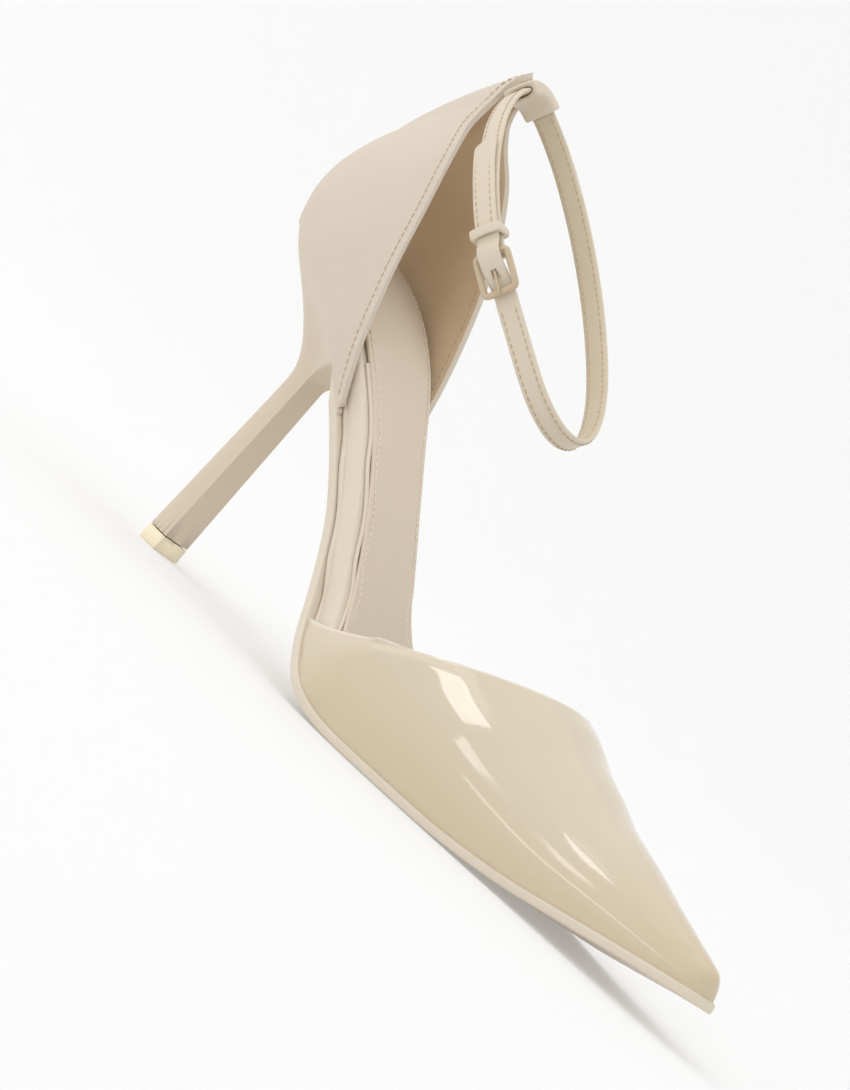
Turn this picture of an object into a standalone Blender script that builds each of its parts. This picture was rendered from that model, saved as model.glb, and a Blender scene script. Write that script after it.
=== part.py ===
"""Ankle strap pump, right shoe, built as a shoemaker's assembly.

The shoe stands on the floor at z = 0 with its toe towards -Y, +Z up and the
outer (lateral) side towards -X. All lengths are in metres.
"""
from collections import namedtuple
import math

import bmesh
import bpy
import numpy as np
from mathutils import Vector

# Overall sizes of the shoe
LENGTH = 0.240              # back of the seat to the tip of the toe, level
BALL_WIDTH = 0.0725         # outsole across the ball
HEEL_RISE = 0.0840          # underside of the seat at the back
TOE_SPRING = 0.0110         # underside of the toe tip above the floor
INSTEP_HEIGHT = 0.0390      # vamp ridge above the outsole at the throat
COLLAR_HEIGHT = 0.0640      # counter above the seat at the back

# Walls and layers
FIT_GAP = 0.0003            # clearance between pieces that touch
OUTSOLE_THICKNESS = 0.0025
BOARD_THICKNESS = 0.0064    # wrapped insole board in the open waist
SOCK_THICKNESS = 0.0013
VAMP_WALL = 0.0010
COUNTER_WALL = 0.0016
VAMP_LEDGE = 0.0009         # outsole edge showing beyond the vamp
COUNTER_LEDGE = 0.0001
COUNTER_SWELL = 0.0056      # how far the counter bulges over the heel
SWELL_REACH = 0.83          # share of COLLAR_HEIGHT that a wall needs for all of the swell
WAIST_LEDGE = 0.0009        # outsole edge showing beyond the board
BOARD_EASE = 0.0005         # room for the upper's lean above the board's edge
SOCK_MARGIN = 0.0024        # board edge showing beyond the sock

# Where the upper starts and stops, from the back of the seat
BREAST_AT = 0.050           # front of the heel under the seat
COUNTER_CORNER_LATERAL = 0.060
COUNTER_CORNER_MEDIAL = 0.0555
VAMP_CORNER_LATERAL = 0.1010
VAMP_CORNER_MEDIAL = 0.098
THROAT_AT = 0.1612
THROAT_SAG = 1.40           # how hollow the throat's edge is in the side view, a power
COLLAR_AT = 0.0215          # top of the counter, forward of the seat's back

# Heel and top lift
TIP_WIDTH = 0.0095
TIP_DEPTH = 0.0092
TIP_AT = 0.0255             # middle of the tip, from the back of the seat
NECK_WIDTH = 0.0074
NECK_DEPTH = 0.0074
NECK_AT = 0.0290
NECK_HEIGHT = 0.0540
LIFT_THICKNESS = 0.0042
HEEL_SWEEP_FRONT = 4.0      # how fast the cup sweeps in to the neck, a power
HEEL_SWEEP_BACK = 1.75
HEEL_FULLNESS = 1.35        # how long the cup's back stays out below the seat, a power

# Ankle strap, its buckle and keeper
STRAP_WIDTH = 0.0060
STRAP_THICKNESS = 0.0015
LOOP_LENGTH = 0.1030        # tunnel to the front of the loop
LOOP_WIDTH = 0.0520
LOOP_DROP = math.radians(35.5)
TAB_WIDTH = 0.0125
TAB_WALL = 0.0012
TAB_STANDOFF = 0.0030       # room between the tab and the curved counter behind it
TAB_ABOVE = 0.0034          # tab above the counter's edge
SLEEVE_CLEARANCE = 0.0004
TIP_SLANT = 0.0035
BUCKLE_WIDTH = 0.0098
BUCKLE_LENGTH = 0.0110
BUCKLE_WIRE = 0.0012
PRONG_WIRE = 0.0009
KEEPER_LENGTH = 0.0024
KEEPER_WALL = 0.0009
KEEPER_TO_BUCKLE = 0.0100   # middle to middle
STRAP_TAIL = 0.0285         # keeper to the cut end

# One row for each section of the last. Along is a share of LENGTH, rise of
# HEEL_RISE, spring of TOE_SPRING, lateral and medial of BALL_WIDTH, board of
# BOARD_THICKNESS and crown of INSTEP_HEIGHT.
Section = namedtuple("Section", "along rise spring lateral medial board crown")
LAST = [
    Section(0.000, 1.000, 0.00, 0.022, 0.022, 1.00, 1.90),
    Section(0.005, 0.999, 0.00, 0.100, 0.096, 1.00, 1.90),
    Section(0.020, 0.994, 0.00, 0.192, 0.183, 1.00, 1.90),
    Section(0.055, 0.972, 0.00, 0.264, 0.250, 1.00, 1.90),
    Section(0.105, 0.920, 0.00, 0.302, 0.280, 1.00, 1.90),
    Section(0.170, 0.822, 0.00, 0.296, 0.258, 1.00, 1.85),
    Section(0.245, 0.655, 0.00, 0.258, 0.196, 1.00, 1.80),
    Section(0.320, 0.460, 0.00, 0.250, 0.137, 1.00, 1.75),
    Section(0.390, 0.260, 0.00, 0.314, 0.135, 1.00, 1.70),
    Section(0.452, 0.110, 0.00, 0.422, 0.243, 1.00, 1.60),
    Section(0.515, 0.023, 0.00, 0.496, 0.425, 0.92, 1.40),
    Section(0.570, 0.000, 0.00, 0.494, 0.496, 0.70, 1.24),
    Section(0.640, 0.000, 0.00, 0.457, 0.500, 0.50, 1.06),
    Section(0.700, 0.000, 0.00, 0.403, 0.452, 0.42, 0.93),
    Section(0.780, 0.000, 0.12, 0.320, 0.366, 0.36, 0.755),
    Section(0.863, 0.000, 0.44, 0.223, 0.270, 0.34, 0.535),
    Section(0.930, 0.000, 0.73, 0.138, 0.190, 0.34, 0.335),
    Section(0.972, 0.000, 0.90, 0.083, 0.140, 0.34, 0.215),
    Section(0.991, 0.000, 0.97, 0.050, 0.108, 0.34, 0.160),
    Section(1.000, 0.000, 1.00, 0.004, 0.062, 0.34, 0.120),
]

# Edge of the collar from the front corner to the middle of the back. Along
# runs from the corner to COLLAR_AT, up from the corner to the collar's top,
# and out is a share of the seat's half width below.
Collar = namedtuple("Collar", "path along up out")
COLLAR = [
    Collar(0.00, 0.00, 0.000, 1.02),
    Collar(0.08, 0.08, 0.071, 1.05),
    Collar(0.18, 0.175, 0.163, 1.08),
    Collar(0.35, 0.33, 0.326, 1.02),
    Collar(0.55, 0.53, 0.529, 0.86),
    Collar(0.75, 0.775, 0.710, 0.62),
    Collar(0.88, 0.950, 0.812, 0.37),
    Collar(0.94, 0.990, 0.862, 0.26),
    Collar(0.975, 1.000, 0.955, 0.17),
    Collar(1.00, 1.00, 1.000, 0.00),
]

# Folds of the ankle loop seen square to its own plane. Forward is a share of
# LOOP_LENGTH and out of LOOP_WIDTH, positive to the lateral side.
Fold = namedtuple("Fold", "forward out")
LOOP = [
    Fold(0.000, 0.000),
    Fold(0.055, 0.190),
    Fold(0.190, 0.390),
    Fold(0.380, 0.530),
    Fold(0.590, 0.565),
    Fold(0.790, 0.435),
    Fold(0.950, 0.290),
    Fold(1.000, 0.090),
    Fold(0.940, -0.130),
    Fold(0.780, -0.300),
    Fold(0.560, -0.370),
    Fold(0.340, -0.350),
    Fold(0.160, -0.260),
    Fold(0.045, -0.130),
]
BUCKLE_FORWARD = 0.660      # row of the loop where the buckle lies

LEATHER = (0.735, 0.640, 0.525, 1.0)
EDGE_CREAM = (0.800, 0.715, 0.560, 1.0)
VINYL = (0.760, 0.680, 0.520, 1.0)
LIFT_RUBBER = (0.790, 0.710, 0.500, 1.0)
ENAMEL = (0.760, 0.665, 0.520, 1.0)

LATERAL, MEDIAL = 1, -1


def clear_scene():
    for obj in list(bpy.data.objects):
        bpy.data.objects.remove(obj)


def smooth_curve(xs, ys):
    """Return a smooth function through the points that never overshoots them."""
    xs, ys = np.array(xs, float), np.array(ys, float)
    step, rise = np.diff(xs), np.diff(ys)
    slope = rise / step
    tangent = np.zeros_like(xs)
    for i in range(1, len(xs) - 1):
        if slope[i - 1] * slope[i] > 0:
            a = 2 * step[i] + step[i - 1]
            b = step[i] + 2 * step[i - 1]
            tangent[i] = (a + b) / (a / slope[i - 1] + b / slope[i])
    tangent[0], tangent[-1] = slope[0], slope[-1]

    def value(x):
        x = np.clip(x, xs[0], xs[-1])
        i = np.clip(np.searchsorted(xs, x) - 1, 0, len(xs) - 2)
        t = (x - xs[i]) / step[i]
        return ((2 * t**3 - 3 * t**2 + 1) * ys[i] + (t**3 - 2 * t**2 + t) * step[i] * tangent[i]
                + (3 * t**2 - 2 * t**3) * ys[i + 1] + (t**3 - t**2) * step[i] * tangent[i + 1])
    return value


def last_column(name, size):
    return smooth_curve([row.along * LENGTH for row in LAST], [getattr(row, name) * size for row in LAST])


rise_at = last_column("rise", HEEL_RISE)
spring_at = last_column("spring", TOE_SPRING)
lateral_at = last_column("lateral", BALL_WIDTH)
medial_at = last_column("medial", BALL_WIDTH)
board_at = last_column("board", BOARD_THICKNESS)
crown_at = last_column("crown", INSTEP_HEIGHT)


def smooth_step(x, start, end):
    t = np.clip((x - start) / (end - start), 0.0, 1.0)
    return t * t * (3 - 2 * t)


def underside(along):
    return rise_at(along) + spring_at(along)


def sole_frame(along):
    """Height of the underside and the direction square to it, in the shoe's side view."""
    reach = 0.0006
    low, high = max(along - reach, 0.0), min(along + reach, LENGTH)
    slope = (underside(high) - underside(low)) / (high - low)
    size = math.hypot(1.0, slope)
    return underside(along), -slope / size, 1.0 / size


def place(along, across, height):
    """World point from the distance along the sole, out to the side, and above its underside."""
    low, lean, up = sole_frame(float(along))
    return Vector((-across, -(along + height * lean), low + height * up))


def outline(side, inset):
    """Edge of the sole moved in by inset(along): distances along and half widths."""
    share = (1 - np.cos(np.linspace(0, math.pi, 401))) / 2
    along = share * LENGTH
    width = lateral_at(along) if side == LATERAL else medial_at(along)
    length = np.concatenate([[0], np.cumsum(np.hypot(np.diff(along), np.diff(underside(along))))])
    run, out = np.gradient(length), np.gradient(width)
    size = np.hypot(run, out)
    depth = np.array([inset(a) for a in along])
    moved = np.interp(length + depth * out / size, length, along)
    keep = np.concatenate([[True], np.diff(np.maximum.accumulate(moved)) > 1e-7])
    return moved[keep], (width - depth * run / size)[keep]


def half_widths(along, inset):
    """Lateral and medial half widths at each distance, for the outline moved in."""
    sides = [outline(side, inset) for side in (LATERAL, MEDIAL)]
    return [np.interp(along, reach, width) for reach, width in sides]


def stations(start, end, count):
    """Distances along, closer together towards both ends."""
    share = np.linspace(0, 1, count)
    eased = (1 - np.cos(share * math.pi)) / 2
    return start + (end - start) * (0.45 * share + 0.55 * eased)


def board_inset(along):
    """The board lies inside the counter and the vamp, and comes out to the edge in the waist."""
    in_counter = COUNTER_LEDGE + COUNTER_WALL + FIT_GAP + BOARD_EASE
    in_vamp = VAMP_LEDGE + VAMP_WALL + FIT_GAP + BOARD_EASE
    run_out = 0.010
    corner = max(COUNTER_CORNER_LATERAL, COUNTER_CORNER_MEDIAL) + 0.002
    throat = min(VAMP_CORNER_LATERAL, VAMP_CORNER_MEDIAL) - 0.002
    leaving = smooth_step(along, corner, corner + run_out)
    entering = smooth_step(along, throat - run_out, throat)
    open_waist = in_counter + (WAIST_LEDGE - in_counter) * leaving
    return open_waist + (in_vamp - WAIST_LEDGE) * entering


def make_material(name, colour, roughness, metallic=0.0):
    material = bpy.data.materials.new(name)
    material.use_nodes = True
    shader = material.node_tree.nodes["Principled BSDF"]
    shader.inputs["Base Color"].default_value = colour
    shader.inputs["Roughness"].default_value = roughness
    shader.inputs["Metallic"].default_value = metallic
    material.diffuse_color = colour
    return material


def make_object(name, bm, material, sharp_angle=35):
    bmesh.ops.recalc_face_normals(bm, faces=bm.faces)
    mesh = bpy.data.meshes.new(name)
    bm.to_mesh(mesh)
    bm.free()
    obj = bpy.data.objects.new(name, mesh)
    bpy.context.scene.collection.objects.link(obj)
    mesh.materials.append(material)
    mesh.shade_smooth()
    mesh.set_sharp_from_angle(angle=math.radians(sharp_angle))
    return obj


def loft(rings, closed=False):
    """Skin rings of equal count, with flat ends unless the last ring meets the first."""
    bm = bmesh.new()
    grid = [[bm.verts.new(point) for point in ring] for ring in rings]
    count = len(grid[0])
    pairs = list(zip(grid, grid[1:]))
    if closed:
        pairs.append((grid[-1], grid[0]))
    for near, far in pairs:
        for i in range(count):
            j = (i + 1) % count
            bm.faces.new((near[i], near[j], far[j], far[i]))
    if not closed:
        bm.faces.new(grid[0])
        bm.faces.new(grid[-1])
    return bm


def sheet(rows):
    """Open surface through a grid of points."""
    bm = bmesh.new()
    grid = [[bm.verts.new(point) for point in row] for row in rows]
    for near, far in zip(grid, grid[1:]):
        for i in range(len(near) - 1):
            bm.faces.new((near[i], near[i + 1], far[i + 1], far[i]))
    return bm


def shell(outer, inner):
    """Solid between two grids: open over the first row and underneath, closed over the last row."""
    bm = bmesh.new()
    grids = [[[bm.verts.new(point) for point in row] for row in rows] for rows in (outer, inner)]
    for grid in grids:
        for near, far in zip(grid, grid[1:]):
            for i in range(len(near) - 1):
                bm.faces.new((near[i], near[i + 1], far[i + 1], far[i]))
        bm.faces.new(grid[-1])
    skin, lining = grids
    rim = [row[0] for row in skin[::-1]] + skin[0][1:-1] + [row[-1] for row in skin]
    seam = [row[0] for row in lining[::-1]] + lining[0][1:-1] + [row[-1] for row in lining]
    for i in range(len(rim)):
        j = (i + 1) % len(rim)
        bm.faces.new((rim[i], rim[j], seam[j], seam[i]))
    return bm


def thicken(obj, wall):
    modifier = obj.modifiers.new("Wall", "SOLIDIFY")
    modifier.thickness = wall
    modifier.offset = -1
    modifier.use_even_offset = True
    modifier.use_rim = True


def sole_layer(name, material, start, end, inset, bottom, top, edge, count=34):
    """A layer that follows the sole's curve, with its upper and lower edges rounded."""
    along = stations(start, end, count)
    lateral, medial = half_widths(along, inset)
    rings = []
    for a, out, inn in zip(along, lateral, medial):
        low, high = bottom(a), top(a)
        turn = min(edge, (high - low) * 0.45, (out + inn) * 0.2)
        soft = turn * 0.3
        side = [(0, low + turn), (0, high - turn), (-soft, high - soft), (-turn, high)]
        under = [(-turn, low), (-soft, low + soft)]
        ring = [(out + x, h) for x, h in side]
        ring += [(-inn - x, h) for x, h in reversed(side)]
        ring += [(-inn - x, h) for x, h in reversed(under)]
        ring += [(out + x, h) for x, h in under]
        rings.append([place(a, x, h) for x, h in ring])
    return make_object(name, loft(rings), material)


def build_outsole(material):
    start = BREAST_AT + FIT_GAP
    return sole_layer("outsole", material, start, LENGTH, lambda a: 0.0,
                      lambda a: 0.0, lambda a: OUTSOLE_THICKNESS, 0.0006)


def board_bottom(along):
    return OUTSOLE_THICKNESS + FIT_GAP


def board_top(along):
    return board_bottom(along) + board_at(along)


def reach_of(inset):
    """First and last distance along of the outline moved in."""
    sides = [outline(side, inset)[0] for side in (LATERAL, MEDIAL)]
    return max(side[0] for side in sides), min(side[-1] for side in sides)


def build_insole_board(material):
    start, end = reach_of(board_inset)
    tip_room = 0.004
    return sole_layer("insole_board", material, start, end - tip_room, board_inset,
                      board_bottom, board_top, 0.0014)


def sock_inset(along):
    return board_inset(along) + SOCK_MARGIN * smooth_step(along, 0.0, BREAST_AT)


def build_sock(material):
    start, end = reach_of(sock_inset)
    tip_room = 0.009
    return sole_layer("sock", material, start, end - tip_room, sock_inset,
                      lambda a: board_top(a) + FIT_GAP,
                      lambda a: board_top(a) + FIT_GAP + SOCK_THICKNESS, 0.0005)


def vamp_point(along, turn, depth=0.0):
    """Point of the vamp; turn goes from the lateral edge over to the medial one, depth inwards."""
    fullness = 2.0
    lateral, medial = half_widths([along], lambda a: VAMP_LEDGE + depth)
    middle, half = (lateral[0] - medial[0]) / 2, (lateral[0] + medial[0]) / 2
    side = math.copysign(abs(math.cos(turn)) ** (2 / fullness), math.cos(turn))
    lift = abs(math.sin(turn)) ** (2 / fullness)
    foot = OUTSOLE_THICKNESS + FIT_GAP
    return place(along, middle + half * side, foot + (crown_at(along) - depth) * lift)


def throat_start(turn):
    """Distance along at which the vamp's edge crosses, nearly straight in the side view."""
    low = VAMP_CORNER_LATERAL if math.cos(turn) > 0 else VAMP_CORNER_MEDIAL
    corner = vamp_point(low, 0.0 if math.cos(turn) > 0 else math.pi)
    peak = vamp_point(THROAT_AT, math.pi / 2)
    high = THROAT_AT
    for _ in range(40):
        middle = (low + high) / 2
        point = vamp_point(middle, turn)
        share = (point.y - corner.y) / (peak.y - corner.y)
        if point.z > corner.z + (peak.z - corner.z) * max(share, 0.0) ** THROAT_SAG:
            low = middle
        else:
            high = middle
    return (low + high) / 2


def build_vamp(material):
    """Seamless shell from one side of the sole to the other, open at the throat and underneath."""
    columns, rows = 26, 27
    starts = [throat_start(math.pi * j / columns) for j in range(columns + 1)]
    skins = []
    for depth in (0.0, VAMP_WALL):
        nose = LENGTH - VAMP_LEDGE - depth - FIT_GAP
        rings = []
        for k in range(rows + 1):
            share = 0.35 * k / rows + 0.325 * (1 - math.cos(math.pi * k / rows))
            rings.append([vamp_point(start + (nose - start) * share, math.pi * j / columns, depth)
                          for j, start in enumerate(starts)])
        skins.append(rings)
    return make_object("vamp", shell(skins[0], skins[1]), material, 60)


def seat_path(side, corner, count):
    """Outline of the seat from the front corner to the middle of the back."""
    along, width = outline(side, lambda a: COUNTER_LEDGE)
    keep = along <= corner
    along = np.append(along[keep], corner)
    width = np.append(width[keep], np.interp(corner, *outline(side, lambda a: COUNTER_LEDGE)))
    along = np.concatenate([[along[0]], along])[::-1]
    width = np.concatenate([[0.0], width])[::-1]
    length = np.concatenate([[0], np.cumsum(np.hypot(np.diff(along), np.diff(width)))])
    even = np.linspace(0, length[-1], count)
    return np.interp(even, length, along), np.interp(even, length, width)


def counter_columns(side, corner, count, rows):
    """Columns of points from the seat up to the collar, corner first."""
    along, width = seat_path(side, corner, count)
    base_height = OUTSOLE_THICKNESS + FIT_GAP
    foot = place(corner, 0, base_height)
    top = underside(0.0) + base_height + COLLAR_HEIGHT
    path = [row.path for row in COLLAR]
    forward = smooth_curve(path, [row.along for row in COLLAR])
    up = smooth_curve(path, [row.up for row in COLLAR])
    out = smooth_curve(path, [row.out for row in COLLAR])
    columns = []
    for i in range(count):
        share = i / (count - 1)
        base = place(along[i], side * width[i], base_height)
        edge_along = -foot.y + (COLLAR_AT + foot.y) * forward(share)
        edge_up = foot.z + (top - foot.z) * up(share)
        below = np.interp(edge_along, along[::-1], width[::-1])
        edge = Vector((-side * below * out(share), -edge_along, edge_up))
        if i == 0:
            edge = base + Vector((0, 0.0003, 0.0016))
        columns.append([column_point(base, edge, t / rows) for t in range(rows + 1)])
    return columns


def column_point(base, edge, t):
    """The wall stands up full from the seat and leans in late, as the heel of the last does."""
    lean = t ** 2
    share = min(1.0, (edge - base).length / (COLLAR_HEIGHT * SWELL_REACH))
    swell = COUNTER_SWELL * math.sin(math.pi * t) * share ** 2
    middle = Vector((0, -COLLAR_AT, 0))
    out = Vector((base.x - middle.x, base.y - middle.y, 0)).normalized()
    return Vector((base.x + (edge.x - base.x) * lean, base.y + (edge.y - base.y) * lean,
                   base.z + (edge.z - base.z) * t)) + out * swell


def build_counter(material):
    """High back of the upper, open in front from one corner over the collar to the other."""
    columns, rows = 25, 10
    lateral = counter_columns(LATERAL, COUNTER_CORNER_LATERAL, columns, rows)
    medial = counter_columns(MEDIAL, COUNTER_CORNER_MEDIAL, columns, rows)
    obj = make_object("counter", sheet(lateral + medial[-2::-1]), material, 60)
    thicken(obj, COUNTER_WALL)
    return obj


def heel_section(height, count):
    """Half of the shaft's outline from the breast corner to the middle of the back."""
    share = min(height / NECK_HEIGHT, 1.0)
    width = TIP_WIDTH + (NECK_WIDTH - TIP_WIDTH) * share
    depth = TIP_DEPTH + (NECK_DEPTH - TIP_DEPTH) * share
    middle = TIP_AT + (NECK_AT - TIP_AT) * share
    points = []
    for i in range(count):
        t = i / (count - 1)
        turn = t * math.pi / 2
        x = width / 2 * math.cos(turn) ** 0.45
        y = middle + depth / 2 - depth * math.sin(turn) ** 1.35
        points.append((y, x))
    return points


def build_heel(material):
    """Cup under the seat that sweeps in to a slim neck and flares a little down to the lift."""
    count, sweep = 13, 11
    seat_height = OUTSOLE_THICKNESS
    seat = {side: seat_path(side, BREAST_AT, count) for side in (LATERAL, MEDIAL)}
    rings = []
    for k in range(sweep + 1):
        t = k / sweep
        sink = t ** 0.85
        ring = {}
        for side in (LATERAL, MEDIAL):
            points = []
            for i, (y, x) in enumerate(heel_section(NECK_HEIGHT, count)):
                top = place(seat[side][0][i], side * seat[side][1][i], seat_height)
                backwards = i / (count - 1)
                hold = 1 + (HEEL_FULLNESS - 1) * backwards
                sweep_in = HEEL_SWEEP_FRONT + (HEEL_SWEEP_BACK - HEEL_SWEEP_FRONT) * backwards
                shrink = (1 - t ** hold) ** sweep_in
                points.append(Vector((-side * x + (top.x + side * x) * shrink,
                                      -y + (top.y + y) * shrink,
                                      top.z + (NECK_HEIGHT - top.z) * sink)))
            ring[side] = points
        rings.append(ring[LATERAL] + ring[MEDIAL][-2::-1])
    shaft_steps = 5
    foot = LIFT_THICKNESS + FIT_GAP
    for k in range(1, shaft_steps + 1):
        z = NECK_HEIGHT + (foot - NECK_HEIGHT) * k / shaft_steps
        half = heel_section(z, count)
        ring = [Vector((-x, -y, z)) for y, x in half]
        ring += [Vector((x, -y, z)) for y, x in half[-2::-1]]
        rings.append(ring)
    bm = bmesh.new()
    grid = [[bm.verts.new(point) for point in ring] for ring in rings]
    size = len(grid[0])
    for near, far in zip(grid, grid[1:]):
        for i in range(size):
            j = (i + 1) % size
            bm.faces.new((near[i], near[j], far[j], far[i]))
    top = grid[0]
    for i in range(count - 1):
        corners = [top[i], top[i + 1], top[size - 2 - i], top[size - 1 - i]]
        bm.faces.new(dict.fromkeys(corners))
    bm.faces.new(grid[-1])
    return make_object("heel", bm, material, 40)


def build_lift(material):
    count = 13
    rings = []
    for z, grow in ((0.0, -0.0002), (0.0003, 0.0001), (LIFT_THICKNESS, 0.0001)):
        half = heel_section(z, count)
        scale = 1 + 2 * grow / TIP_WIDTH
        middle = TIP_AT
        ring = [Vector((-x * scale, -(middle + (y - middle) * scale), z)) for y, x in half]
        ring += [Vector((x * scale, -(middle + (y - middle) * scale), z)) for y, x in half[-2::-1]]
        rings.append(ring)
    return make_object("top_lift", loft(rings), material, 30)


def tunnel_place():
    """Middle of the strap where it passes behind the ankle, in front of the counter's top."""
    top = underside(0.0) + OUTSOLE_THICKNESS + FIT_GAP + COLLAR_HEIGHT
    half_tall = STRAP_WIDTH / 2 + SLEEVE_CLEARANCE + TAB_WALL
    half_deep = STRAP_THICKNESS / 2 + SLEEVE_CLEARANCE + TAB_WALL
    forward = half_deep + TAB_STANDOFF + COUNTER_WALL
    return Vector((0, -COLLAR_AT, top)) + LOOP_UP * (TAB_ABOVE - half_tall) + LOOP_FORWARD * forward


LOOP_FORWARD = Vector((0, -math.cos(LOOP_DROP), -math.sin(LOOP_DROP)))
LOOP_UP = Vector((0, -math.sin(LOOP_DROP), math.cos(LOOP_DROP)))
LOOP_OUT = Vector((-1, 0, 0))


def closed_spline(points, count):
    """Even points along a closed smooth curve through the given ones."""
    size = len(points)
    dense = []
    for i in range(size):
        p0, p1, p2, p3 = (points[(i + k) % size] for k in (-1, 0, 1, 2))
        for step in range(24):
            t = step / 24
            dense.append(0.5 * (2 * p1 + (p2 - p0) * t + (2 * p0 - 5 * p1 + 4 * p2 - p3) * t * t
                                + (3 * p1 - p0 - 3 * p2 + p3) * t**3))
    dense = np.array(dense + dense[:1])
    length = np.concatenate([[0], np.cumsum(np.linalg.norm(np.diff(dense, axis=0), axis=1))])
    even = np.linspace(0, length[-1], count + 1)
    return np.stack([np.interp(even, length, dense[:, k]) for k in range(2)], axis=1), length[-1]


class AnkleLoop:
    """The line that the strap follows, measured by its length from the tunnel."""

    def __init__(self):
        corners = [np.array((row.forward * LOOP_LENGTH, row.out * LOOP_WIDTH)) for row in LOOP]
        self.points, self.length = closed_spline(corners, 240)
        self.start = tunnel_place()
        lateral_half = self.points[:120]
        row = int(np.argmin(abs(lateral_half[:, 0] - BUCKLE_FORWARD * LOOP_LENGTH)))
        self.buckle = row * self.length / 240

    def plane_point(self, distance):
        spot = (distance % self.length) / self.length * 240
        return np.array([np.interp(spot, np.arange(241), self.points[:, k]) for k in range(2)])

    def frame(self, distance):
        """Place, direction along the strap and direction away from the ankle."""
        reach = 0.0008
        here = self.plane_point(distance)
        ahead = self.plane_point(distance + reach) - self.plane_point(distance - reach)
        ahead /= np.linalg.norm(ahead)
        spot = self.start + LOOP_FORWARD * here[0] + LOOP_OUT * here[1]
        along = LOOP_FORWARD * ahead[0] + LOOP_OUT * ahead[1]
        out = LOOP_FORWARD * -ahead[1] + LOOP_OUT * ahead[0]
        return spot, along, out


def band_ring(spot, along, out, width, thickness, slant=0.0):
    """Cross-section of the strap with its edges turned over."""
    turn = thickness * 0.3
    half, deep = width / 2, thickness / 2
    corners = [(half, -deep + turn), (half, deep - turn), (half - turn, deep), (-half + turn, deep),
               (-half, deep - turn), (-half, -deep + turn), (-half + turn, -deep), (half - turn, -deep)]
    return [spot + LOOP_UP * x + out * y + along * (slant * x / width) for x, y in corners]


Levels = namedtuple("Levels", "frame over second")


def buckle_levels():
    """How far out from the strap's middle the frame, the strap over it and its second layer lie."""
    frame = STRAP_THICKNESS / 2 + FIT_GAP + BUCKLE_WIRE / 2
    over = frame + BUCKLE_WIRE / 2 + FIT_GAP + STRAP_THICKNESS / 2
    second = STRAP_THICKNESS + FIT_GAP * 1.5
    return Levels(frame, over, second)


def prong_line():
    """Reach along the buckle and level of the prong at the hinge bar and past the front bar."""
    frame = buckle_levels().frame
    hinge = -BUCKLE_LENGTH / 2 + BUCKLE_WIRE + FIT_GAP
    front = BUCKLE_LENGTH / 2 + FIT_GAP
    return (hinge, frame), (front, frame + BUCKLE_WIRE / 2 + FIT_GAP + PRONG_WIRE / 2)


def build_strap(material, loop):
    """One band from under the buckle, through the tunnel, round the ankle and back over itself."""
    levels = buckle_levels()
    over, second = levels.over, levels.second
    half = (BUCKLE_LENGTH - BUCKLE_WIRE) / 2
    hinge, front = loop.buckle - half, loop.buckle + half
    keeper = loop.buckle - KEEPER_TO_BUCKLE
    rings = []
    for distance in np.linspace(hinge + 0.0016, front - loop.length + 0.004, 84):
        spot, along, out = loop.frame(distance)
        rings.append(band_ring(spot, -along, out, STRAP_WIDTH, STRAP_THICKNESS))
    under_front = -FIT_GAP
    climb = smooth_curve([-front - 0.004, -front - 0.001, -hinge - 0.0004, -hinge + 0.0006,
                          -keeper - KEEPER_LENGTH, -keeper + KEEPER_LENGTH, -keeper + STRAP_TAIL],
                         [0.0, under_front, over, over, second, second, second + FIT_GAP])
    tail = np.linspace(front + 0.003, keeper - STRAP_TAIL, 40)
    end = []
    for k, distance in enumerate(tail[::-1]):
        spot, along, out = loop.frame(distance)
        slant = TIP_SLANT * max(0.0, 1 - k / 5)
        end.append(band_ring(spot + out * float(climb(-distance)), -along, out,
                             STRAP_WIDTH, STRAP_THICKNESS, slant))
    obj = make_object("ankle_strap", loft(rings + end[::-1]), material, 30)
    cut = obj.modifiers.new("Prong hole", "BOOLEAN")
    cut.operation = "DIFFERENCE"
    cut.object = prong_hole(loop)
    return obj


def prong_hole(loop):
    """Slot that lets the prong through the strap where it climbs over the hinge bar."""
    spot, along, out = loop.frame(loop.buckle)
    wide, tall = PRONG_WIRE / 2 + FIT_GAP, PRONG_WIRE / 2 + FIT_GAP
    (hinge, low), (front, high) = prong_line()
    slope = (high - low) / (front - hinge)
    rings = []
    for reach in (front * 0.4, hinge - FIT_GAP):
        level = low + slope * (reach - hinge)
        rings.append([spot + along * reach + LOOP_UP * x + out * (level + y)
                      for x, y in ((-wide, -tall), (wide, -tall), (wide, tall), (-wide, tall))])
    bm = loft(rings)
    obj = make_object("prong_hole_cutter", bm, make_material("cutter", LEATHER, 0.5))
    obj.hide_render = True
    obj.display_type = "WIRE"
    return obj


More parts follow.
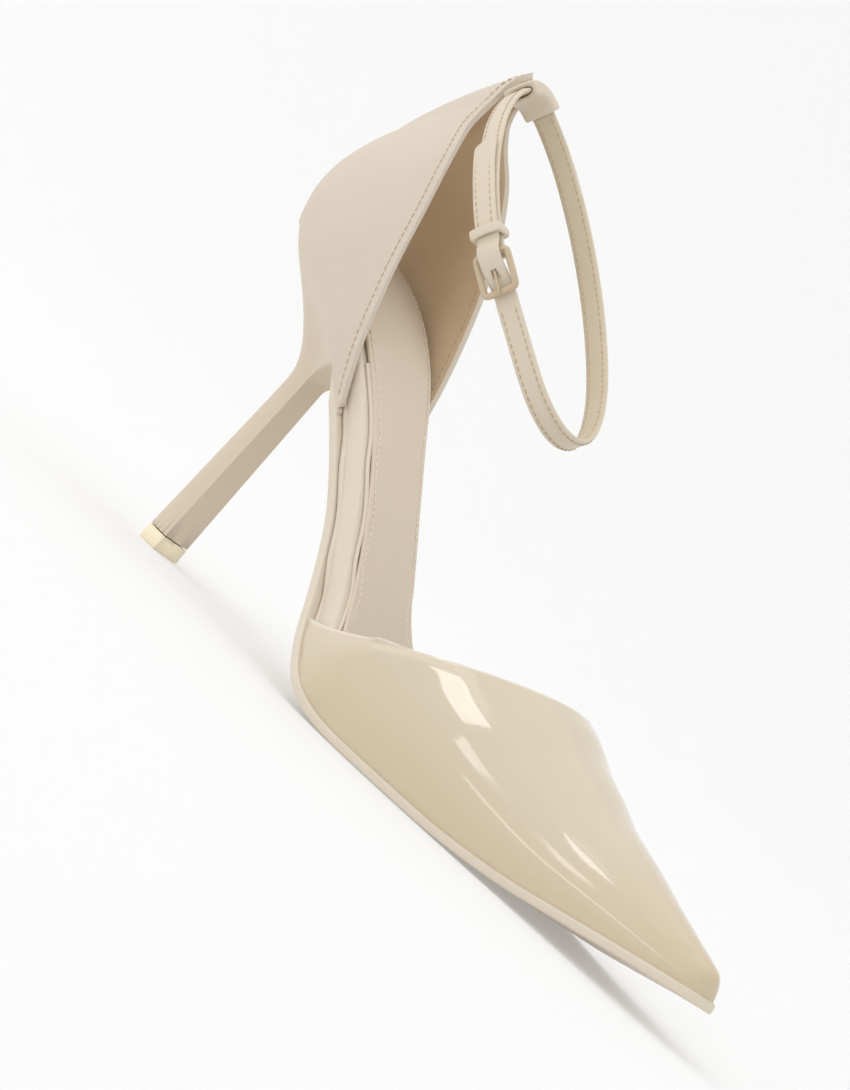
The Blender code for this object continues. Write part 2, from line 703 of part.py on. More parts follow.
def sleeve(name, material, frames, hole_width, hole_low, hole_high, wall):
    """Leather sleeve round the strap: a closed strip swept along the strap's own frames."""
    inner = [(hole_width / 2, hole_low), (hole_width / 2, hole_high),
             (-hole_width / 2, hole_high), (-hole_width / 2, hole_low)]
    bend = wall * 0.6
    reach, low, high = hole_width / 2 + wall, hole_low - wall, hole_high + wall
    outer = [(reach, low + bend), (reach, high - bend), (reach - bend, high), (-reach + bend, high),
             (-reach, high - bend), (-reach, low + bend), (-reach + bend, low), (reach - bend, low)]
    bm = bmesh.new()
    tubes = []
    for profile in (outer, inner):
        tubes.append([[bm.verts.new(spot + LOOP_UP * x + out * y) for x, y in profile]
                      for spot, along, out in frames])
    for tube in tubes:
        for near, far in zip(tube, tube[1:]):
            for i in range(len(near)):
                j = (i + 1) % len(near)
                bm.faces.new((near[i], near[j], far[j], far[i]))
    for end in (0, -1):
        out_ring, in_ring = tubes[0][end], tubes[1][end]
        for k in range(4):
            near, far = out_ring[(2 * k) % 8], out_ring[(2 * k + 1) % 8]
            bm.faces.new((in_ring[k], in_ring[(k + 1) % 4], far, near))
            bm.faces.new((in_ring[(k + 1) % 4], out_ring[(2 * k + 2) % 8], far))
    return make_object(name, bm, material, 30)


def build_tab(material, loop):
    """Tunnel on top of the counter that the strap runs through."""
    frames = [loop.frame(d) for d in np.linspace(-TAB_WIDTH / 2, TAB_WIDTH / 2, 9)]
    deep = STRAP_THICKNESS / 2 + SLEEVE_CLEARANCE
    return sleeve("back_tab", material, frames, STRAP_WIDTH + 2 * SLEEVE_CLEARANCE, -deep, deep, TAB_WALL)


def build_keeper(material, loop):
    """Loop that holds the strap's end down."""
    second = buckle_levels().second
    middle = loop.buckle - KEEPER_TO_BUCKLE
    frames = [loop.frame(middle + step * KEEPER_LENGTH) for step in (-0.5, 0.0, 0.5)]
    low = -STRAP_THICKNESS / 2 - SLEEVE_CLEARANCE
    high = second + STRAP_THICKNESS / 2 + SLEEVE_CLEARANCE
    return sleeve("keeper", material, frames, STRAP_WIDTH + 2 * SLEEVE_CLEARANCE, low, high, KEEPER_WALL)


def rod_ring(spot, first, second, radius, sides=8):
    """Round cross-section in the plane of two directions."""
    turns = [2 * math.pi * (i + 0.5) / sides for i in range(sides)]
    return [spot + first * (radius * math.cos(t)) + second * (radius * math.sin(t)) for t in turns]


def build_buckle(material, loop):
    """Rectangular frame bent from square wire, open in the middle."""
    spot, along, out = loop.frame(loop.buckle)
    spot = spot + out * buckle_levels().frame
    radius = BUCKLE_WIRE / 2
    half_long, half_wide = BUCKLE_LENGTH / 2 - radius, BUCKLE_WIDTH / 2 - radius
    bend = 0.0010
    rings = []
    for sign_long, sign_wide, start in ((1, 1, 0), (-1, 1, 90), (-1, -1, 180), (1, -1, 270)):
        middle = spot + along * (sign_long * (half_long - bend)) + LOOP_UP * (sign_wide * (half_wide - bend))
        for step in range(4):
            turn = math.radians(start + 30 * step)
            away = along * math.cos(turn) + LOOP_UP * math.sin(turn)
            rings.append(rod_ring(middle + away * bend, away, out, radius))
    return make_object("buckle_frame", loft(rings, closed=True), material, 40)


def build_prong(material, loop):
    """Prong that goes from the hinge bar through the strap's hole to rest on the front bar."""
    spot, along, out = loop.frame(loop.buckle)
    (hinge, low), (front, high) = prong_line()
    radius = PRONG_WIRE / 2
    rings = []
    for share, size in ((0.0, 1.0), (0.5, 1.0), (0.93, 0.9), (1.0, 0.55)):
        spine = spot + along * (hinge + (front - hinge) * share) + out * (low + (high - low) * share)
        rings.append(rod_ring(spine, LOOP_UP, out, radius * size))
    return make_object("buckle_prong", loft(rings), material, 50)


def stand_on_origin(pieces):
    """Move all pieces so that the floor's origin is under the middle of the shoe."""
    bpy.context.view_layer.update()
    graph = bpy.context.evaluated_depsgraph_get()
    points = []
    for piece in pieces:
        mesh = piece.evaluated_get(graph).to_mesh()
        points += [vertex.co.copy() for vertex in mesh.vertices]
    middle = [(min(p[k] for p in points) + max(p[k] for p in points)) / 2 for k in (0, 1)]
    for obj in bpy.data.objects:
        obj.location = (-middle[0], -middle[1], 0)


def build_shoe():
    clear_scene()
    leather = make_material("beige leather", LEATHER, 0.55)
    edge = make_material("cream edge", EDGE_CREAM, 0.45)
    vinyl = make_material("glossy vinyl", VINYL, 0.08)
    rubber = make_material("lift rubber", LIFT_RUBBER, 0.50)
    enamel = make_material("beige enamel", ENAMEL, 0.30)
    loop = AnkleLoop()
    pieces = [
        build_outsole(edge),
        build_insole_board(leather),
        build_sock(leather),
        build_vamp(vinyl),
        build_counter(leather),
        build_heel(leather),
        build_lift(rubber),
        build_strap(leather, loop),
        build_tab(leather, loop),
        build_keeper(leather, loop),
        build_buckle(enamel, loop),
        build_prong(enamel, loop),
    ]
    stand_on_origin(pieces)
    return pieces


build_shoe()
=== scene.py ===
# %% [markdown]
# A pointed pump with an ankle strap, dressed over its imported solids. Each piece is made the way a
# shoemaker would think of it: a glossy vamp pulled over the last, a covered heel, a folded and stitched
# counter, a wrapped foot board, and a strap run through a tab behind the ankle.

import math
from collections import namedtuple

import bpy
import numpy as np
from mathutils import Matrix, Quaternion, Vector


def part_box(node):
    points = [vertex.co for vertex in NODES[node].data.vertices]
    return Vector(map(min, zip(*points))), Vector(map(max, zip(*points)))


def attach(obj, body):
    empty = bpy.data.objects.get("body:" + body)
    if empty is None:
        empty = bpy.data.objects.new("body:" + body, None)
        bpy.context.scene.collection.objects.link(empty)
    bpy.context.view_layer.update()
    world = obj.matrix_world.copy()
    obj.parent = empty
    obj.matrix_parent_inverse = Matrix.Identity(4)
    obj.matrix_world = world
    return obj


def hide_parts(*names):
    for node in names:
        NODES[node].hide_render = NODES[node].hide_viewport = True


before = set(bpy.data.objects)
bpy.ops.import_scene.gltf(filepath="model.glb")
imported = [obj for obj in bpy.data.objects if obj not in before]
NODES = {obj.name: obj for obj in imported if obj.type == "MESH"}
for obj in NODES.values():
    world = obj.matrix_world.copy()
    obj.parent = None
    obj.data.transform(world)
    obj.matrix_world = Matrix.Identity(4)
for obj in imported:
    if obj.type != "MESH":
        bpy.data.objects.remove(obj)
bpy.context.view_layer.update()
print("solids:", sorted(NODES))

# %% [markdown]
# The camera stands level with the shoe on its outer side, a little ahead of it, and is rolled so that
# the toe points to the lower right. A long lens from a metre away keeps the photograph's perspective.

# %% Camera
CAMERA_AIM = Vector((-0.0135, 0.0135, 0.0465))
CAMERA_TURN = math.radians(-48.99)
CAMERA_RISE = math.radians(2.70)
CAMERA_DISTANCE = 1.032
CAMERA_ROLL = math.radians(39.79)
SENSOR_HEIGHT = 36.0
LENS = 145.4

bpy.ops.object.select_all(action="DESELECT")
away = Vector((math.sin(CAMERA_TURN) * math.cos(CAMERA_RISE),
               -math.cos(CAMERA_TURN) * math.cos(CAMERA_RISE),
               math.sin(CAMERA_RISE)))
bpy.ops.object.camera_add(location=CAMERA_AIM + away * CAMERA_DISTANCE)
camera = bpy.context.object
camera.name = "camera"
camera.rotation_mode = "QUATERNION"
camera.rotation_quaternion = (-away).to_track_quat("-Z", "Y") @ Quaternion((0, 0, 1), CAMERA_ROLL)
camera.data.sensor_fit = "VERTICAL"
camera.data.sensor_height = SENSOR_HEIGHT
camera.data.lens = LENS
camera.data.clip_start = 0.01
bpy.context.scene.camera = camera
bpy.context.scene.view_settings.view_transform = "Standard"

# %% [markdown]
# The shoe stands in a plain white dish: a flat floor that curves up into a wall all round, so no
# horizon shows from any side. It is a disc whose raised rim has its corner rounded by a wide bevel.

# %% Floor
FLOOR_RADIUS, FLOOR_SIDES = 1.9, 96
WALL_HEIGHT = 3.2
BEND_WIDTH, BEND_STEPS, BEND_ANGLE = 1.1, 16, math.radians(60)
FLOOR_WHITE = (0.68, 0.68, 0.68, 1.0)
FLOOR_GLOW = 0.22
FLOOR_ROUGHNESS = 0.9


def paint(name, colour, roughness):
    """A Principled material with its shader, ready for nodes."""
    material = bpy.data.materials.new(name)
    material.use_nodes = True
    shader = material.node_tree.nodes["Principled BSDF"]
    shader.inputs["Base Color"].default_value = colour
    shader.inputs["Roughness"].default_value = roughness
    return material, shader


bpy.ops.mesh.primitive_circle_add(vertices=FLOOR_SIDES, radius=FLOOR_RADIUS, fill_type="NGON")
floor = bpy.context.object
floor.name = "floor"
bpy.ops.object.mode_set(mode="EDIT")
bpy.ops.mesh.select_all(action="SELECT")
bpy.ops.mesh.region_to_loop()
bpy.ops.mesh.extrude_region_move(TRANSFORM_OT_translate={"value": (0, 0, WALL_HEIGHT)})
bpy.ops.object.mode_set(mode="OBJECT")
bend = floor.modifiers.new("Sweep", "BEVEL")
bend.width = BEND_WIDTH
bend.segments = BEND_STEPS
bend.limit_method = "ANGLE"
bend.angle_limit = BEND_ANGLE
bpy.ops.object.modifier_apply(modifier=bend.name)
bpy.ops.object.shade_smooth()
white, white_shader = paint("floor_white", FLOOR_WHITE, FLOOR_ROUGHNESS)
white_shader.inputs["Emission Color"].default_value = (1.0, 1.0, 1.0, 1.0)
white_shader.inputs["Emission Strength"].default_value = FLOOR_GLOW
floor.data.materials.append(white)
print("floor", len(floor.data.polygons), "faces")

# %% [markdown]
# Soft light comes from all round, and a large key light stands high on the outer side, behind the
# heel. Glossy vinyl shows its lights as shapes, so four small ones on the outer side stand where the
# photograph shows a reflection. A picture of a room could give them too, but lamps are easy to move.

# %% Light
WORLD_STRENGTH = 1.12
LIT_SPOT = Vector((-0.02, -0.03, 0.03))
world = bpy.data.worlds.new("studio")
bpy.context.scene.world = world
world.use_nodes = True
world.node_tree.nodes["Background"].inputs["Color"].default_value = (1.0, 0.995, 0.985, 1.0)
world.node_tree.nodes["Background"].inputs["Strength"].default_value = WORLD_STRENGTH


def lit_from(name, azimuth, elevation, distance, size, power):
    """An area light seen from the shoe at an azimuth and a height in degrees."""
    turn, rise = math.radians(azimuth), math.radians(elevation)
    way = Vector((math.sin(turn) * math.cos(rise), -math.cos(turn) * math.cos(rise), math.sin(rise)))
    stand = LIT_SPOT + way * distance
    bpy.ops.object.light_add(type="AREA", location=stand)
    lamp = bpy.context.object
    lamp.name = name
    lamp.rotation_euler = (LIT_SPOT - stand).to_track_quat("-Z", "Y").to_euler()
    lamp.data.shape = "RECTANGLE"
    lamp.data.size, lamp.data.size_y = size
    lamp.data.energy = power
    print(name, "light,", power, "W")


lit_from("window", -104.5, 50, 1.5, (0.15, 0.34), 0.85)
lit_from("window_foot", -95.5, 37, 1.5, (0.09, 0.14), 0.15)
lit_from("strip", -84, 26, 1.5, (0.44, 0.05), 0.20)
lit_from("low_strip", -102, 3.5, 1.5, (0.24, 0.05), 0.14)
lit_from("key", -150, 44, 2.0, (1.8, 1.8), 9.0)

# %% [markdown]
# The last is the wooden foot that a shoe is made on. Its sections are the same as the solids' own,
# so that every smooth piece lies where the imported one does.

# %% The last
LENGTH = 0.240
BALL_WIDTH = 0.0725
HEEL_RISE = 0.0840
TOE_SPRING = 0.0110
INSTEP_HEIGHT = 0.0390
COLLAR_HEIGHT = 0.0640
FIT_GAP = 0.0003
OUTSOLE_THICKNESS = 0.0025
BOARD_THICKNESS = 0.0064
SOCK_THICKNESS = 0.0013
VAMP_WALL = 0.0010
COUNTER_WALL = 0.0016
VAMP_LEDGE = 0.0009
COUNTER_LEDGE = 0.0001
COUNTER_SWELL = 0.0056
SWELL_REACH = 0.83
WAIST_LEDGE = 0.0009
BOARD_EASE = 0.0005
SOCK_MARGIN = 0.0024
BREAST_AT = 0.050
LATERAL, MEDIAL = 1, -1
COUNTER_CORNER = {LATERAL: 0.060, MEDIAL: 0.0555}
VAMP_CORNER = {LATERAL: 0.1010, MEDIAL: 0.098}
THROAT_AT = 0.1612
THROAT_SAG = 1.40
COLLAR_AT = 0.0215
tip_low, tip_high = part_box("top_lift")
SHIFT_X = (tip_low[0] + tip_high[0]) / 2
SHIFT_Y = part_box("outsole")[0][1] + LENGTH

Section = namedtuple("Section", "along rise spring lateral medial board crown")
LAST = [
    Section(0.000, 1.000, 0.00, 0.022, 0.022, 1.00, 1.90),
    Section(0.005, 0.999, 0.00, 0.100, 0.096, 1.00, 1.90),
    Section(0.020, 0.994, 0.00, 0.192, 0.183, 1.00, 1.90),
    Section(0.055, 0.972, 0.00, 0.264, 0.250, 1.00, 1.90),
    Section(0.105, 0.920, 0.00, 0.302, 0.280, 1.00, 1.90),
    Section(0.170, 0.822, 0.00, 0.296, 0.258, 1.00, 1.85),
    Section(0.245, 0.655, 0.00, 0.258, 0.196, 1.00, 1.80),
    Section(0.320, 0.460, 0.00, 0.250, 0.137, 1.00, 1.75),
    Section(0.390, 0.260, 0.00, 0.314, 0.135, 1.00, 1.70),
    Section(0.452, 0.110, 0.00, 0.422, 0.243, 1.00, 1.60),
    Section(0.515, 0.023, 0.00, 0.496, 0.425, 0.92, 1.40),
    Section(0.570, 0.000, 0.00, 0.494, 0.496, 0.70, 1.24),
    Section(0.640, 0.000, 0.00, 0.457, 0.500, 0.50, 1.06),
    Section(0.700, 0.000, 0.00, 0.403, 0.452, 0.42, 0.93),
    Section(0.780, 0.000, 0.12, 0.320, 0.366, 0.36, 0.755),
    Section(0.863, 0.000, 0.44, 0.223, 0.270, 0.34, 0.535),
    Section(0.930, 0.000, 0.73, 0.138, 0.190, 0.34, 0.335),
    Section(0.972, 0.000, 0.90, 0.083, 0.140, 0.34, 0.215),
    Section(0.991, 0.000, 0.97, 0.050, 0.108, 0.34, 0.160),
    Section(1.000, 0.000, 1.00, 0.004, 0.062, 0.34, 0.120),
]
print("last", len(LAST), "sections")

# %% [markdown]
# Between its sections the last is smooth. A curve for each of their columns runs through the values
# and never overshoots, and a point is then found from its distance along the sole, its distance
# across and its height above the sole's underside.

# %% Points on the last
SLOPE_REACH = 0.0006
OUTLINE_POINTS = 801


def smooth_curve(xs, ys):
    """A smooth function through the points that never overshoots them."""
    xs, ys = np.array(xs, float), np.array(ys, float)
    step = np.diff(xs)
    slope = np.diff(ys) / step
    tangent = np.zeros_like(xs)
    for i in range(1, len(xs) - 1):
        if slope[i - 1] * slope[i] > 0:
            a, b = 2 * step[i] + step[i - 1], step[i] + 2 * step[i - 1]
            tangent[i] = (a + b) / (a / slope[i - 1] + b / slope[i])
    tangent[0], tangent[-1] = slope[0], slope[-1]

    def value(x):
        x = np.clip(x, xs[0], xs[-1])
        i = np.clip(np.searchsorted(xs, x) - 1, 0, len(xs) - 2)
        t = (x - xs[i]) / step[i]
        return ((2 * t**3 - 3 * t**2 + 1) * ys[i] + (t**3 - 2 * t**2 + t) * step[i] * tangent[i]
                + (3 * t**2 - 2 * t**3) * ys[i + 1] + (t**3 - t**2) * step[i] * tangent[i + 1])
    return value


def last_column(name, size):
    return smooth_curve([row.along * LENGTH for row in LAST], [getattr(row, name) * size for row in LAST])


rise_at = last_column("rise", HEEL_RISE)
spring_at = last_column("spring", TOE_SPRING)
width_at = {LATERAL: last_column("lateral", BALL_WIDTH), MEDIAL: last_column("medial", BALL_WIDTH)}
board_at = last_column("board", BOARD_THICKNESS)
crown_at = last_column("crown", INSTEP_HEIGHT)


def underside(along):
    return rise_at(along) + spring_at(along)


def place(along, across, height):
    """Points from the distance along the sole, out to the side, and above its underside."""
    low, high = np.maximum(along - SLOPE_REACH, 0), np.minimum(along + SLOPE_REACH, LENGTH)
    slope = (underside(high) - underside(low)) / (high - low)
    size = np.hypot(1, slope)
    x = SHIFT_X - across
    y = SHIFT_Y - (along - height * slope / size)
    z = underside(along) + height / size
    return np.stack(np.broadcast_arrays(x, y, z), axis=-1)


def outline(side, inset):
    """Edge of the sole moved in: distances along and half widths."""
    along = (1 - np.cos(np.linspace(0, math.pi, OUTLINE_POINTS))) / 2 * LENGTH
    width = width_at[side](along)
    length = np.concatenate([[0], np.cumsum(np.hypot(np.diff(along), np.diff(underside(along))))])
    run, out = np.gradient(length), np.gradient(width)
    size = np.hypot(run, out)
    depth = inset(along) if callable(inset) else np.full_like(along, inset)
    moved = np.interp(length + depth * out / size, length, along)
    keep = np.concatenate([[True], np.diff(np.maximum.accumulate(moved)) > 1e-7])
    return moved[keep], (width - depth * run / size)[keep]


def smooth_step(x, start, end):
    t = np.clip((x - start) / (end - start), 0.0, 1.0)
    return t * t * (3 - 2 * t)


WAIST_OPENS, WAIST_CLOSES = (0.062, 0.072), (0.086, 0.096)
BALL_AT = 0.13


def board_inset(along):
    in_counter = COUNTER_LEDGE + COUNTER_WALL + FIT_GAP + BOARD_EASE
    in_vamp = VAMP_LEDGE + VAMP_WALL + FIT_GAP + BOARD_EASE
    leaving = smooth_step(along, *WAIST_OPENS)
    entering = smooth_step(along, *WAIST_CLOSES)
    return in_counter + (WAIST_LEDGE - in_counter) * leaving + (in_vamp - WAIST_LEDGE) * entering


print("heel rise", round(float(underside(0.0)), 4),
      "outer half width at the ball", round(float(width_at[LATERAL](BALL_AT)), 4))

# %% [markdown]
# A curved skin starts as a flat grid, as a pattern piece does, and each of its points is then laid on
# the last. The grid's own two directions are kept as its UV map, which the vamp's painted shade and
# highlight follow; the counter's stitches follow the same two directions.


def settle(piece, node=None):
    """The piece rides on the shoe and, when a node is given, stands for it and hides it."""
    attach(piece, "root")
    if node:
        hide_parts(node)
    return piece


def pattern(name, columns, rows, lay):
    """A grid laid on a surface: lay takes two arrays from 0 to 1 and gives points."""
    bpy.ops.object.select_all(action="DESELECT")
    bpy.ops.mesh.primitive_grid_add(x_subdivisions=columns, y_subdivisions=rows, size=1, calc_uvs=True)
    piece = bpy.context.object
    piece.name = name
    flat = np.empty(len(piece.data.vertices) * 3)
    piece.data.vertices.foreach_get("co", flat)
    flat = flat.reshape(-1, 3) + 0.5
    laid = lay(flat[:, 0], flat[:, 1])
    piece.data.vertices.foreach_set("co", laid.astype(np.float32).ravel())
    piece.data.update()
    return piece


def only(piece):
    """Select one object alone and make it active."""
    bpy.ops.object.select_all(action="DESELECT")
    piece.select_set(True)
    bpy.context.view_layer.objects.active = piece


def apply_all(piece):
    only(piece)
    for modifier in list(piece.modifiers):
        bpy.ops.object.modifier_apply(modifier=modifier.name)


MERGE_FINE, MERGE_SOLID = 0.00001, 0.00002


def point_out(piece):
    """Merge a mesh's doubles and turn its faces outwards."""
    only(piece)
    bpy.ops.object.mode_set(mode="EDIT")
    bpy.ops.mesh.select_all(action="SELECT")
    bpy.ops.mesh.remove_doubles(threshold=MERGE_FINE)
    bpy.ops.mesh.normals_make_consistent(inside=False)
    bpy.ops.object.mode_set(mode="OBJECT")


def smooth(piece, degrees):
    only(piece)
    bpy.ops.object.shade_smooth_by_angle(angle=math.radians(degrees))


def wall(piece, thickness, bevel, inside_material=0):
    """Give a skin its thickness inwards and turn its rim over."""
    skin = piece.modifiers.new("Wall", "SOLIDIFY")
    skin.thickness = thickness
    skin.offset = -1
    skin.use_even_offset = True
    skin.material_offset = inside_material
    rim = piece.modifiers.new("Turned edge", "BEVEL")
    rim.width = bevel
    rim.segments = 3
    rim.limit_method = "ANGLE"
    rim.angle_limit = math.radians(50)
    apply_all(piece)
    smooth(piece, 60)
    return piece


FLAT_ENOUGH, SQUARE_ENOUGH = math.radians(50), math.radians(60)


def rounded_copy(node, name, crease, levels):
    """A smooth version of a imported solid: merged, its triangles joined, its sharp edges kept."""
    mesh = NODES[node].data.copy()
    piece = bpy.data.objects.new(name, mesh)
    bpy.context.scene.collection.objects.link(piece)
    mesh.materials.clear()
    only(piece)
    bpy.ops.object.mode_set(mode="EDIT")
    bpy.ops.mesh.select_all(action="SELECT")
    bpy.ops.mesh.remove_doubles(threshold=MERGE_SOLID)
    bpy.ops.mesh.tris_convert_to_quads(face_threshold=FLAT_ENOUGH, shape_threshold=SQUARE_ENOUGH)
    bpy.ops.mesh.select_all(action="DESELECT")
    bpy.ops.mesh.select_mode(type="EDGE")
    bpy.ops.mesh.edges_select_sharp(sharpness=math.radians(crease))
    bpy.ops.transform.edge_crease(value=1.0)
    bpy.ops.object.mode_set(mode="OBJECT")
    soft = piece.modifiers.new("Soft", "SUBSURF")
    soft.levels = soft.render_levels = levels
    apply_all(piece)
    smooth(piece, crease + 5)
    return piece


def dressed(node, name, material, crease, levels=2):
    """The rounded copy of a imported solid, settled on its node and given its material."""
    piece = settle(rounded_copy(node, name, crease, levels), node)
    piece.data.materials.append(material)
    print(name, len(piece.data.polygons), "faces")
    return piece


# %% [markdown]
# Smooth leather is never one colour: it has fine pores, a slow drift of tone and a little more shine
# where it is stretched. One node group gives all three, and each leather takes it at its own strength.

# %% Leather grain group


def new_group(name, ins, outs):
    group = bpy.data.node_groups.new(name, "ShaderNodeTree")
    for label, kind, value in ins:
        socket = group.interface.new_socket(label, in_out="INPUT", socket_type=kind)
        socket.default_value = value
    for label, kind in outs:
        group.interface.new_socket(label, in_out="OUTPUT", socket_type=kind)
    enter = group.nodes.new("NodeGroupInput")
    leave = group.nodes.new("NodeGroupOutput")
    return group, enter, leave


def feed(tree, socket, value):
    """Link a socket to a value that varies, or set it to one that doesn't."""
    if hasattr(value, "links"):
        tree.links.new(value, socket)
    else:
        socket.default_value = value


MIX_FACTOR, MIX_A, MIX_B, MIX_COLOUR = 0, 6, 7, 2


def mixed(tree, a, b, factor, blend="MIX"):
    """A Mix node of colours; each of a, b and factor is a socket or a value."""
    node = tree.nodes.new("ShaderNodeMix")
    node.data_type = "RGBA"
    node.blend_type = blend
    for index, value in ((MIX_FACTOR, factor), (MIX_A, a), (MIX_B, b)):
        feed(tree, node.inputs[index], value)
    return node.outputs[MIX_COLOUR]


def maths(tree, operation, a, b=0.0):
    node = tree.nodes.new("ShaderNodeMath")
    node.operation = operation
    for index, value in ((0, a), (1, b)):
        feed(tree, node.inputs[index], value)
    return node.outputs[0]


DRIFT_SCALE = 28
PORE_EDGE, FINE_SHARE, SPECK_SHARE, GLOSS_SWING = 0.12, 0.10, 0.5, 0.16
grain, grain_in, grain_out = new_group(
    "leather_grain",
    [("Color", "NodeSocketColor", (0.7, 0.6, 0.5, 1)), ("Pore size", "NodeSocketFloat", 1400.0),
     ("Tone", "NodeSocketFloat", 0.05), ("Roughness", "NodeSocketFloat", 0.5)],
    [("Color", "NodeSocketColor"), ("Roughness", "NodeSocketFloat"), ("Height", "NodeSocketFloat")])
where = grain.nodes.new("ShaderNodeTexCoord")
pores = grain.nodes.new("ShaderNodeTexVoronoi")
pores.feature = "DISTANCE_TO_EDGE"
grain.links.new(where.outputs["Object"], pores.inputs["Vector"])
grain.links.new(grain_in.outputs["Pore size"], pores.inputs["Scale"])
fine = grain.nodes.new("ShaderNodeTexNoise")
fine.inputs["Detail"].default_value = 4
grain.links.new(where.outputs["Object"], fine.inputs["Vector"])
grain.links.new(grain_in.outputs["Pore size"], fine.inputs["Scale"])
drift = grain.nodes.new("ShaderNodeTexNoise")
drift.inputs["Scale"].default_value = DRIFT_SCALE
drift.inputs["Detail"].default_value = 3
grain.links.new(where.outputs["Object"], drift.inputs["Vector"])
pore_line = maths(grain, "SMOOTH_MIN", pores.outputs["Distance"], PORE_EDGE)
height = maths(grain, "ADD", pore_line, maths(grain, "MULTIPLY", fine.outputs["Fac"], FINE_SHARE))
grain.links.new(height, grain_out.inputs["Height"])
swing = maths(grain, "SUBTRACT", drift.outputs["Fac"], 0.5)
speck = maths(grain, "MULTIPLY", maths(grain, "SUBTRACT", fine.outputs["Fac"], 0.5), SPECK_SHARE)
level = maths(grain, "MULTIPLY", maths(grain, "ADD", swing, speck), grain_in.outputs["Tone"])
lit = maths(grain, "ADD", 1.0, level)
tint = grain.nodes.new("ShaderNodeCombineColor")
for channel in range(3):
    grain.links.new(lit, tint.inputs[channel])
grain.links.new(mixed(grain, grain_in.outputs["Color"], tint.outputs[0], 1.0, "MULTIPLY"),
                grain_out.inputs["Color"])
rough = maths(grain, "ADD", grain_in.outputs["Roughness"], maths(grain, "MULTIPLY", swing, GLOSS_SWING))
grain.links.new(rough, grain_out.inputs["Roughness"])
print("grain group", len(grain.nodes), "nodes")

# %% [markdown]
# The shoe has one family of beiges. Strap, sock, board and heel are each a little lighter or
# yellower than the counter, the lining is a rough suede, and the buckle is glossy enamel. All of
# them take the same grain group, so only colour, gloss and depth of grain are chosen for each.

# %% Leathers


def leather(name, colour, roughness, pore_size=1400.0, tone=0.06, bump=0.12, depth=0.0002, coat=0.0):
    """Leather with the grain group, its own colour, gloss and depth of grain."""
    material, shader = paint(name, colour, roughness)
    tree = material.node_tree
    node = tree.nodes.new("ShaderNodeGroup")
    node.node_tree = grain
    node.inputs["Color"].default_value = colour
    node.inputs["Pore size"].default_value = pore_size
    node.inputs["Tone"].default_value = tone
    node.inputs["Roughness"].default_value = roughness
    tree.links.new(node.outputs["Color"], shader.inputs["Base Color"])
    tree.links.new(node.outputs["Roughness"], shader.inputs["Roughness"])
    relief = tree.nodes.new("ShaderNodeBump")
    relief.inputs["Strength"].default_value = bump
    relief.inputs["Distance"].default_value = depth
    tree.links.new(node.outputs["Height"], relief.inputs["Height"])
    tree.links.new(relief.outputs["Normal"], shader.inputs["Normal"])
    shader.inputs["Coat Weight"].default_value = coat
    shader.inputs["Coat Roughness"].default_value = 0.35
    shader.inputs["Specular IOR Level"].default_value = 0.35
    return material


BEIGE = (0.655, 0.573, 0.476, 1.0)
beige = leather("beige_leather", BEIGE, 0.52)
strap_beige = leather("strap_leather", (0.690, 0.605, 0.480, 1.0), 0.50, tone=0.08)
sock_beige = leather("sock_leather", (0.690, 0.590, 0.470, 1.0), 0.58, pore_size=1000.0, tone=0.05)
suede = leather("lining_suede", (0.760, 0.595, 0.410, 1.0), 0.85, pore_size=2200.0, tone=0.22, bump=0.3)
board_beige = leather("board_leather", (0.720, 0.635, 0.525, 1.0), 0.50, tone=0.05)
# The strap's back is a rougher leather whose darker colour is painted shade from inside the loop.
shaded_strap_back = leather("strap_back_painted_shade", (0.640, 0.550, 0.410, 1.0), 0.75, pore_size=1900.0, tone=0.16,
                     bump=0.2)
heel_leather = leather("heel_cover", (0.660, 0.560, 0.435, 1.0), 0.42, tone=0.04, bump=0.06, coat=0.15)
edge_cream = leather("sole_edge", (0.710, 0.630, 0.510, 1.0), 0.40, pore_size=700.0, tone=0.04, bump=0.05)
lift_cream = leather("lift_rubber", (0.940, 0.840, 0.620, 1.0), 0.50, pore_size=900.0, tone=0.10, bump=0.08)
thread_tan = leather("thread_tan", (0.560, 0.430, 0.290, 1.0), 0.6, pore_size=3500.0, tone=0.2, bump=0.3)
thread_cream = leather("thread_cream", (0.830, 0.760, 0.640, 1.0), 0.6, pore_size=3500.0, tone=0.2,
                       bump=0.3)
enamel = leather("buckle_enamel", (0.560, 0.440, 0.290, 1.0), 0.22, pore_size=500.0, tone=0.08,
                 bump=0.04, coat=0.6)
print("leathers", len(bpy.data.materials) - 1)

# %% [markdown]
# The vamp is a milky vinyl, as glossy as glass. Real light goes a little way into it, which would be
# slow to render and is lost in an export, so its depth is painted here: a deeper tone low on the
# sides and towards the toe, and a pale line where the throat's cut edge catches the light.

# %% Vinyl
VINYL_CLEAR = (0.655, 0.570, 0.430, 1.0)
VINYL_DEEP = (0.605, 0.485, 0.315, 1.0)
VINYL_RIM = (0.780, 0.715, 0.600, 1.0)
FOOT_SHADE, TOE_SHADE = (0.30, 0.48, 0.62), (0.45, 1.0, 0.75)
THROAT_CLEAR, RIM_LIGHT = (0.22, 0.0, 0.8), (0.030, 0.008, 0.7)
HAZE_SCALE, HAZE_SHARE = 20, 0.15
RIPPLE_SCALE, RIPPLE_STRENGTH, RIPPLE_DEPTH = 34, 0.02, 0.0004
vinyl, vinyl_shader = paint("glossy_vinyl", VINYL_CLEAR, 0.08)
vinyl_shader.inputs["IOR"].default_value = 1.45
vinyl_shader.inputs["Coat Weight"].default_value = 0.5
vinyl_shader.inputs["Coat Roughness"].default_value = 0.02
tree = vinyl.node_tree


